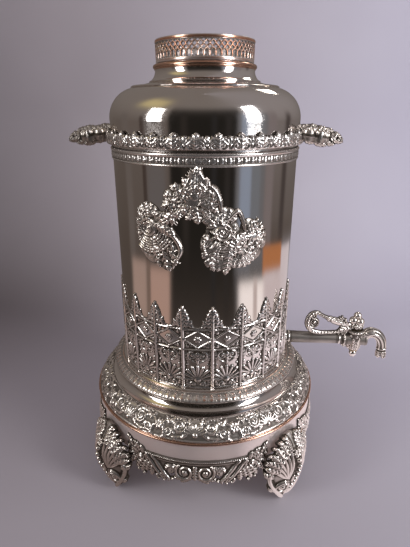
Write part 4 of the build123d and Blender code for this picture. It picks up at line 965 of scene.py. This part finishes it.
# ---------------------------------------------------------------- tap: the turning key
arm = Field(113.5, 178.0, 156.5, 190.5, 0.34)
arm.stroke([(175, 164.6), (164, 161.0), (150, 159.8), (135, 160.2), (125.5, 164.6), (121.2, 173.5), (124.0, 183.4),
            (131.0, 186.4), (138.0, 182.6)], [2.4, 2.2, 2.1, 2.5, 3.0, 3.3, 3.2, 2.6, 2.0], 2.9, n=70)
arm.stroke([(137.0, 183.2), (144, 179.4), (153, 174.8), (162, 171.0), (174, 168.6)],
           [2.0, 2.5, 3.9, 3.2, 2.4], 2.8, n=40)
arm.volute(128.6, 173.6, 6.4, -2.2, 1.6, 1, 1.1, 2.9)
arm.volute(127.4, 182.2, 3.6, 1.2, 1.3, -1, 0.9, 3.2)
arm.beads([(121.4, 170.0), (122.0, 177.5), (125.0, 184.0), (131.0, 186.0), (137.0, 183.6), (144.0, 179.8)],
          1.35, 2.3, 1.5, base=2.2)
arm.beads([(128.0, 161.6), (136.0, 159.9), (148.0, 159.7), (158.0, 160.2)], 1.5, 2.5, 1.6, base=2.0)
arm.leaf([(144, 179.0), (153, 175.4), (165, 170.6)], 4.0, 4, 3.3)
arm.leaf([(175, 165.0), (167, 164.2), (158.5, 162.0)], 4.6, 4, 3.2)
arm.fan(173.5, 164.8, 12.4, 1.9, 8, lean=pi - 0.05, high=3.2)
arm.flower(161.6, 177.6, 3.9, 5, 3.4)
arm.boss(157.2, 177.0, 1.8, high=3.4)
arm.boss(166.6, 175.8, 1.9, high=3.4)
arm.softened(0.25)
arm_place = spun(on_plane((0, 0, 0), (1, 0, 0), (0, 0, 1)), KEY_TURN, VALVE_X)
pierced("lever_scroll", arm, arm_place, "silver_key", "tap_key", "tap_lever", both=1.0, cut=0.2)
hub_profile = [(7.0, 164.3), (7.5, 167.0), (6.9, 169.4), (5.6, 171.6), (5.0, 173.5)]
hub = Field.around(7.0, 9.9, 0.34)
for across in evenly(10, 7.0):
    hub.leaf([(across, 7.6), (across, 4.4), (across, 1.4)], 2.1, 3, 0.7)
hub.beads([(-22, 8.6), (22, 8.6)], 1.1, 2.1, 0.9)
laid("hub_leaves", hub.softened(0.2), spun(on_turned(hub_profile, 7.0, (VALVE_X, 0)), KEY_TURN, VALVE_X), "silver_key",
     "tap_key", depth=2.5)
knob_balls = [(4.4 * cos(a), 4.4 * sin(a), 174.4, 5.0) for a in (pi, -pi / 3, pi / 3)] + [(0, 0, 180.6, 4.5)]
knob_balls += [(6.6 * cos(a), 6.6 * sin(a), 168.4, 1.7) for a in np.arange(12) * 2 * pi / 12]
turn_key = spun(lambda x, y, z: (x, y, z), KEY_TURN, VALVE_X)
balls("knob_balls", [(*turn_key(VALVE_X + x, y, z), r) for x, y, z, r in knob_balls],
      "silver_key", "tap_key", "tap_knob")

# ---------------------------------------------------------------- feet
KEEL = ((131.5, 0.6), (136.8, 4.6), (140.6, 12.0), (145.0, 24.0), (149.8, 37.0), (153.0, 50.0), (153.2, 60.0),
        (148.0, 71.0), (141.5, 80.0), (137.0, 88.0))
WING_R, WING_U = 133.2, 33.0
keel = smooth(KEEL, 80)
keel_run = distances(keel)
plate_place = on_keel(keel, WING_R, WING_U)


def on_foot(*points):
    """Points (u, height) of a foot's plate as (u, distance along the keel)."""
    return [(u, float(np.interp(height, keel[:, 1], keel_run))) for u, height in points]


# one side is drawn and mirrored; the plate's half widths come with their heights
plate = Field(-WING_U, WING_U, 0, plate_place.length, 0.4)
widths, runs = zip(*on_foot((2.6, 0.6), (4.6, 2), (6.6, 4), (9.6, 8), (12.4, 13), (16.0, 20), (21.6, 30), (27.0, 42),
                            (28.6, 50), (28.0, 62), (26.4, 66), (22.0, 74), (17.0, 78), (10.0, 84), (5.0, 88)))
grid_u, grid_v = np.meshgrid(plate.u, plate.v)
edge = np.interp(grid_v, runs, widths)
plate.h = np.where(np.abs(grid_u) < edge, 0.5 + 0.7 * np.sqrt(np.clip(1 - np.abs(grid_u) / edge, 0, 1)), 0)
# fan of strokes that end in leaves
for tip, out in (((24.0, 54), (31.8, 57)), ((22.5, 60), (31.0, 65.5)), ((19.5, 65), (26.6, 73)),
                 ((15.5, 69), (20.4, 79)), ((11.0, 72), (13.4, 84)), ((6.0, 75), (6.4, 87))):
    middle = (0.45 * (7.5 + tip[0]) + 0.6, 0.5 * (38 + tip[1]))
    plate.stroke(on_foot((7.5, 38), middle, tip), [0.8, 1.7, 1.9], 2.3, 0.9, n=40)
    plate.leaf(on_foot((0.8 * tip[0], tip[1] - 3), tip, out), 3.9, 4, 2.9, base=1.2)
for tip in ((21.0, 49), (17.5, 56), (13.5, 61), (9.0, 65)):
    plate.stroke(on_foot((9.5, 40), tip), [0.5, 1.0, 0.6], 3.1, 1.0)
plate.leaf(on_foot((24, 45), (28.6, 47), (32.4, 51)), 3.2, 4, 2.7, base=1.2)
plate.leaf(on_foot((19.5, 23), (23.6, 25), (26.6, 29)), 2.6, 3, 2.4, base=1.0)
plate.stroke(on_foot((3.2, 4), (4.2, 12), (3.4, 22), (3.4, 42)), [1.0, 1.5, 1.1], 2.6, 0.9, n=40)
# volute in a cleared disc, and the outer rib
centre, = on_foot((11.2, 26.0))
plate.h = np.where(np.hypot(grid_u - centre[0], grid_v - centre[1]) < 10.6, 1.1, plate.h)
plate.volute(*centre, 9.6, pi / 2, 1.6, -1, 1.7, 3.2, 0.30, 1.1)
plate.stroke(on_foot((2.0, 2.4), (7.4, 6.6), (13.4, 14), (19.8, 24), (25.6, 36), (27.2, 47), (23.6, 55)),
             [2.4, 2.5, 2.4, 2.3, 2.0, 1.2], 3.8, 1.0, n=90)
for across, height, r in ((27.5, 71.0, 2.0), (22.0, 78.0, 2.2), (15.5, 82.0, 2.2), (9.5, 85.0, 1.9), (30.6, 62.0, 1.7)):
    plate.boss(*on_foot((across, height))[0], r, high=2.8, base=1.0)
plate.beads(on_foot((0, 17), (0, 30), (0, 45), (0, 62)), 2.5, 2.5, 3.0, base=1.2)
plate.flower(*on_foot((0, 69.0))[0], 5.4, 6, 3.0, base=1.0)
plate.mirrored()
plate.softened(0.3)
toe_place, toe = sleeve([(1.0, -8.2), (3.0, -7.8), (4.4, -6.6), (5.8, -6.9), (7.4, -6.2), (8.0, -4.4), (7.7, 0),
                         (8.0, 4.4), (7.4, 6.2), (5.8, 6.9), (4.4, 6.6), (3.0, 7.8), (1.0, 8.2)],
                        6.0, 0.42, (-132.6, 8.7), True)
mid = toe_place.length / 2
for across in evenly(9, 6.0):
    toe.leaf([(across, mid - 3.6), (across, mid), (across, mid + 3.6)], 1.7, 3, 0.6)
for label, turn in (("front_right", 45), ("back_right", 135), ("back_left", 225), ("front_left", 315)):
    pierced("foot_plate_" + label, plate, spun(plate_place, turn), "silver_feet", "vessel", "foot_" + label, depth=4.5)
    laid("foot_toe_" + label, toe, spun(toe_place, turn), "silver_feet", "vessel", depth=0.9)

# ---------------------------------------------------------------- apron spans between the feet
# v is the height less that of the span's lower edge
LOW = 40.0
apron_place = on_turned([(132.2, LOW), (132.8, 55.0), (132.2, 62.5), (131.4, 66.5), (132.0, 71.0), (131.8, 75.2),
                         (132.0, 88.0)], 133.0)
apron = Field(-80, 80, 0, apron_place.length, 0.42)
apron.h[(apron.v > 59.2 - LOW) & (apron.v < 75.6 - LOW)] = 0.4
apron.volute(11.0, 20.0, 9.6, 0.9, 1.6, -1, 1.7, 2.4, 0.3)
apron.boss(11.0, 20.0, 3.0, high=2.8)
for shift in (0, 7.4):
    apron.stroke([(53.5 - shift, 31.5), (44.5 - shift, 20.0), (35.0 - shift, 8.6)], [2.3, 2.6, 1.9], 2.2)
    apron.stroke([(53.0 - shift, 31.5), (43.6 - shift, 20.0), (34.6 - shift, 9.4)], [0.5], 2.7)
apron.volute(26.0, 20.5, 4.6, 0, 1.4, 1, 1.1, 2.2)
apron.volute(60.5, 25.0, 5.0, -pi / 2, 1.5, 1, 1.1, 2.5)
apron.volute(71.0, 30.0, 4.4, -pi / 2, 1.4, -1, 1.0, 2.4)
apron.leaves(((4.0, 54, 14.5, 46.6, 3.4), (8, 52, 20, 50, 2.8), (20, 67, 27.5, 57, 3.2), (24, 66, 32, 61, 2.8),
              (50, 62, 54, 49.5, 3.8), (54, 62, 60.5, 46, 4.2), (58, 63, 67, 49, 4.2), (47, 59, 47.5, 46, 3.4),
              (36, 54, 31.0, 46.4, 3.0), (62, 66, 73, 55, 4.0), (66, 68, 77.5, 62, 3.8), (64, 70, 74, 72, 3.4),
              (66, 72, 78, 79, 3.6), (62, 73, 70, 82, 3.4), (58, 72, 61, 80, 2.8), (70, 64, 76, 50, 3.2),
              (42, 50, 39, 44.5, 2.4), (56, 70, 52, 62, 2.8), (72, 76, 79, 86, 2.8)), 2.1, lift=1.0, up=-LOW)
for across, height, r in ((20.5, 52.6, 1.5), (23.8, 49.4, 1.7), (27.6, 47.6, 1.6), (33.0, 45.8, 1.5),
                          (38.5, 46.4, 1.4), (57.0, 45.4, 1.6), (64.0, 47.6, 1.6), (67.5, 76.0, 1.9),
                          (73.0, 80.0, 1.9), (76.5, 73.0, 1.7), (56.0, 57.0, 1.6), (69.0, 59.0, 1.7)):
    apron.boss(across, height - LOW, r, high=2.8)
apron.mirrored()
apron.beads([(-70.5, 33.4), (70.5, 33.4)], 1.05, 2.1, 1.5)
apron.stroke([(-70.8, 30.4), (70.8, 30.4)], [0.6], 0.9, n=4)
apron.leaf([(0, 24), (0, 18), (0, 10.4)], 3.8, 4, 2.3)
apron.boss(0, 26.0, 2.6, high=2.4)
apron.softened(0.32)
for label, turn in (("front", 0), ("right", 90), ("back", 180), ("left", 270)):
    pierced("apron_scrolls_" + label, apron, spun(apron_place, turn), "silver_cast", "vessel", "apron_" + label,
            depth=1.6)


# ---------------------------------------------------------------- stage and light
def grid_object(name, grid, material, tones=None, wrap=False):
    """A stage surface through a grid of points in metres, with colours at its points where they are given."""
    nv, nu = grid.shape[:2]
    faces = np.stack(corners(nv, nu, wrap), -1).reshape(-1, 4)
    mesh = bpy.data.meshes.new(name)
    mesh.from_pydata(grid.reshape(-1, 3).tolist(), [], faces.tolist())
    mesh.polygons.foreach_set("use_smooth", np.ones(len(mesh.polygons), bool))
    if tones is not None:
        layer = mesh.attributes.new("tone", "FLOAT_COLOR", "POINT")
        layer.data.foreach_set("color", np.concatenate([tones.reshape(-1, 3), np.ones((nv * nu, 1))], 1).ravel())
    mesh.materials.append(material)
    obj = linked(name, mesh)
    return obj


# paper backdrop: a floor that sweeps up behind the object, with painted shade: darker to the left and towards the
# front, and a painted shadow of the object to its back left
paper = Nodes("backdrop_paper")
paper.shader.inputs["Roughness"].default_value = 0.95
paper.shader.inputs["Specular IOR Level"].default_value = 0.05
split = paper.add("ShaderNodeSeparateXYZ", Vector=paper.place).outputs
# painted shade and light: the paper runs from dark on the left to light on the right, as if lit from the right
tone = paper.add("ShaderNodeValToRGB")
tone.color_ramp.elements[0].color = (0.26, 0.235, 0.245, 1)
tone.color_ramp.elements[1].color = (0.60, 0.58, 0.67, 1)
for at, color in ((0.25, (0.35, 0.315, 0.33, 1)), (0.5, (0.46, 0.425, 0.46, 1)), (0.75, (0.56, 0.535, 0.60, 1))):
    tone.color_ramp.elements.new(at).color = color
paper.put(tone.inputs[0], paper.map_range(split[0], -0.75, 0.75))
color = paper.mix(0.10, tone.outputs[0], paper.noise(3.0, 2.0), "OVERLAY")
# painted shadow: a soft dark spot on the paper behind the object to the left, where its shadow falls
painted_shadow_spot = paper.mapping(vector_type="TEXTURE", Location=(-0.56, 0.36, 0.12), Rotation=(0, 0, radians(-32)),
                      Scale=(0.72, 0.44, 0.80))
shade = paper.add("ShaderNodeTexGradient", gradient_type="SPHERICAL", Vector=painted_shadow_spot).outputs["Fac"]
color = paper.mix(paper.math("MULTIPLY", shade, 0.85, clamp=True), color, (0.075, 0.062, 0.055))
# painted shade: the floor grows darker towards the front
color = paper.mix(paper.map_range(split[1], 0.30, -0.32, 0.62), color, (0.24, 0.215, 0.225))
paper.put(paper.shader.inputs["Base Color"], color)
FOLD_Y, FOLD_R = 0.34, 0.42
fold = [(FOLD_Y + FOLD_R * sin(a), FOLD_R * (1 - cos(a))) for a in np.linspace(0, pi / 2, 24)]
line = [(-3.5, 0.0), (-1.0, 0.0)] + fold + [(FOLD_Y + FOLD_R, 1.0), (FOLD_Y + FOLD_R, 3.2)]
sheet = np.array([[(x, y, z) for x in np.linspace(-3.5, 3.5, 15)] for y, z in line])
backdrop = grid_object("backdrop", sheet, paper.material)
backdrop.visible_glossy = False

# painted reflections: the room that polished metal mirrors, floor, wall and ceiling of a round room that glows in
# painted soft-edged patches of light and shade; the camera, shadows and soft light don't see it
ROOM_R, ROOM_H, ROOM_Z = 1.35, 1.75, 0.0012
LIGHT_R = 1.22
PALE, BROWN, DARK = (0.36, 0.335, 0.36), (0.095, 0.076, 0.066), (0.016, 0.014, 0.012)
PATCHES = (
    # azimuth from and to (degrees from the front, to the viewer's right), path from and to (metres along
    # the floor and up the wall), softness across and along, colour
    (-250, 250, 0.0, 9.0, 1, 0.01, PALE),
    (-250, 250, 1.15, 9.0, 3, 0.3, BROWN),
    (-179.9, 118, 0.42, 9.0, 4, 0.05, BROWN),
    (-179.9, -100, 0.30, 9.0, 4, 0.05, (0.08, 0.063, 0.053)),
    (112, 180, 0.95, 9.0, 6, 0.2, BROWN),
    (-250, 250, 1.85, 9.0, 3, 0.7, (0.19, 0.165, 0.15)),
    (40, 150, 1.75, 9.0, 30, 0.6, (0.27, 0.245, 0.245)),
    (-104, -92, 0.8, 2.0, 3, 0.2, (0.13, 0.11, 0.10)),
    (-73, -67, 0.8, 2.0, 1.2, 0.2, (0.055, 0.040, 0.034)),
    (-66, -42, 0.9, 1.7, 4, 0.3, (0.125, 0.113, 0.112)),
    (-36, 44, 0.40, 2.65, 2.5, 0.5, DARK),
    (-22, -15, 0.9, 2.2, 3, 0.3, (0.030, 0.025, 0.022)),
    (12, 17, 0.55, 2.2, 3, 0.3, (0.026, 0.024, 0.024)),
    (27, 33, 0.55, 2.2, 3, 0.3, (0.030, 0.026, 0.024)),
    (40, 80, 0.75, 2.2, 3.0, 0.2, (0.15, 0.147, 0.155)),
    (45, 60, 1.0, 2.2, 2.5, 0.3, (0.26, 0.30, 0.38)),
    (60, 72, 1.2, 2.2, 2.5, 0.3, (0.17, 0.18, 0.20)),
    (79, 92, 0.9, 2.2, 3, 0.3, (0.20, 0.17, 0.17)),
    (108, 118, 1.0, 2.0, 4, 0.2, (0.06, 0.048, 0.045)),
    (113, 150, 0.40, 0.94, 4, 0.05, (0.64, 0.56, 0.58)),
    (-88, -50, 2.62, 3.5, 12, 0.3, (0.55, 0.46, 0.24)),
    (80, 117, 0.72, 0.98, 1.5, 0.04, (0.44, 0.18, 0.075)),
    (-100, -72, 0.46, 0.84, 4.0, 0.05, (0.36, 0.26, 0.22)),
    (-67, -39, 0.42, 0.80, 2.5, 0.05, (0.42, 0.28, 0.23)),
    (-72, -67, 0.46, 0.84, 1.2, 0.03, (0.19, 0.135, 0.11)),
    (46, 104, 0.38, 0.70, 4.0, 0.05, (0.98, 0.90, 0.88)),
    (66, 72, 0.46, 0.70, 1.5, 0.04, (0.55, 0.46, 0.44)),
    (82, 118, 0.38, 0.74, 4.0, 0.05, (0.62, 0.53, 0.54)),
    (-250, 250, 0.0, 0.37, 3, 0.04, (0.27, 0.21, 0.195)),
    (-62, 20, 0.0, 0.30, 16, 0.05, (0.15, 0.11, 0.10)),
    (30, 150, 0.0, 0.40, 20, 0.05, (0.95, 0.84, 0.88)),
    (-16, -3, 0.2, 0.45, 3, 0.05, (0.08, 0.065, 0.06)),
    (22, 30, 0.2, 0.45, 3, 0.05, (0.09, 0.07, 0.065)),
)
room_az = np.radians(np.arange(0, 360, 0.5))
room_run = np.concatenate([np.linspace(0.02, ROOM_R, 90), ROOM_R + np.linspace(0.01, ROOM_H, 90),
                           ROOM_R + ROOM_H + np.linspace(0.02, ROOM_R - 0.02, 40)])
az, run = np.meshgrid(room_az, room_run)
radius = np.where(run < ROOM_R, run, np.where(run < ROOM_R + ROOM_H, ROOM_R, 2 * ROOM_R + ROOM_H - run))
height = ROOM_Z + np.clip(run - ROOM_R, 0, ROOM_H)
side_az = (np.degrees(az) + 180) % 360 - 180


def past(distance, softness):
    """0 well before an edge and 1 well past it."""
    return 1 / (1 + np.exp(np.clip(-distance / (0.35 * softness), -60, 60)))


tones = np.zeros((*az.shape, 3))
for a0, a1, s0, s1, soft_a, soft_s, color in PATCHES:
    cover = past(side_az - a0, soft_a) * past(a1 - side_az, soft_a) * past(run - s0, soft_s) * past(s1 - run, soft_s)
    tones += cover[..., None] * (np.array(color) - tones)
# painted reflection: the room glows with its painted tones, which only glossy rays see
glow = bpy.data.materials.new("painted_reflection_room")
glow.use_nodes = True
tree = glow.node_tree
tree.nodes.remove(tree.nodes["Principled BSDF"])
emission = tree.nodes.new("ShaderNodeEmission")
paint = tree.nodes.new("ShaderNodeAttribute")
paint.attribute_name = "tone"
tree.links.new(paint.outputs["Color"], emission.inputs["Color"])
tree.links.new(emission.outputs[0], tree.nodes["Material Output"].inputs[0])
walls = np.stack([radius * np.sin(az), -radius * np.cos(az), height], -1)
room = grid_object("mirrored_room", walls, glow, tones, wrap=True)
room.visible_camera = room.visible_diffuse = room.visible_shadow = False
room.visible_transmission = room.visible_volume_scatter = False


def soft_box(name, azimuth, low, high, width, power, color=(1, 1, 1)):
    """An upright window of light on the room's wall, facing the object."""
    data = bpy.data.lights.new(name, "AREA")
    data.shape, data.size, data.size_y = "RECTANGLE", width, high - low
    data.energy, data.color = power, color
    light = linked(name, data)
    a = radians(azimuth)
    at = Vector((LIGHT_R * sin(a), -LIGHT_R * cos(a), 0.5 * (low + high)))
    light.location = at
    light.rotation_euler = (Vector((0, 0, at.z)) - at).to_track_quat("-Z", "Y").to_euler()


soft_box("window_left", -53, 0.36, 1.18, 0.38, 5.5)
soft_box("window_right", 60, 0.34, 1.40, 0.36, 12, (0.97, 0.98, 1.0))
soft_box("ceiling_light", 150, 1.25, 1.55, 0.3, 3, (1, 0.95, 0.85))

world = bpy.data.worlds.new("world")
bpy.context.scene.world = world
world.use_nodes = True
sky = world.node_tree.nodes["Background"].inputs
sky[0].default_value, sky[1].default_value = (0.60, 0.57, 0.62, 1), 1.0
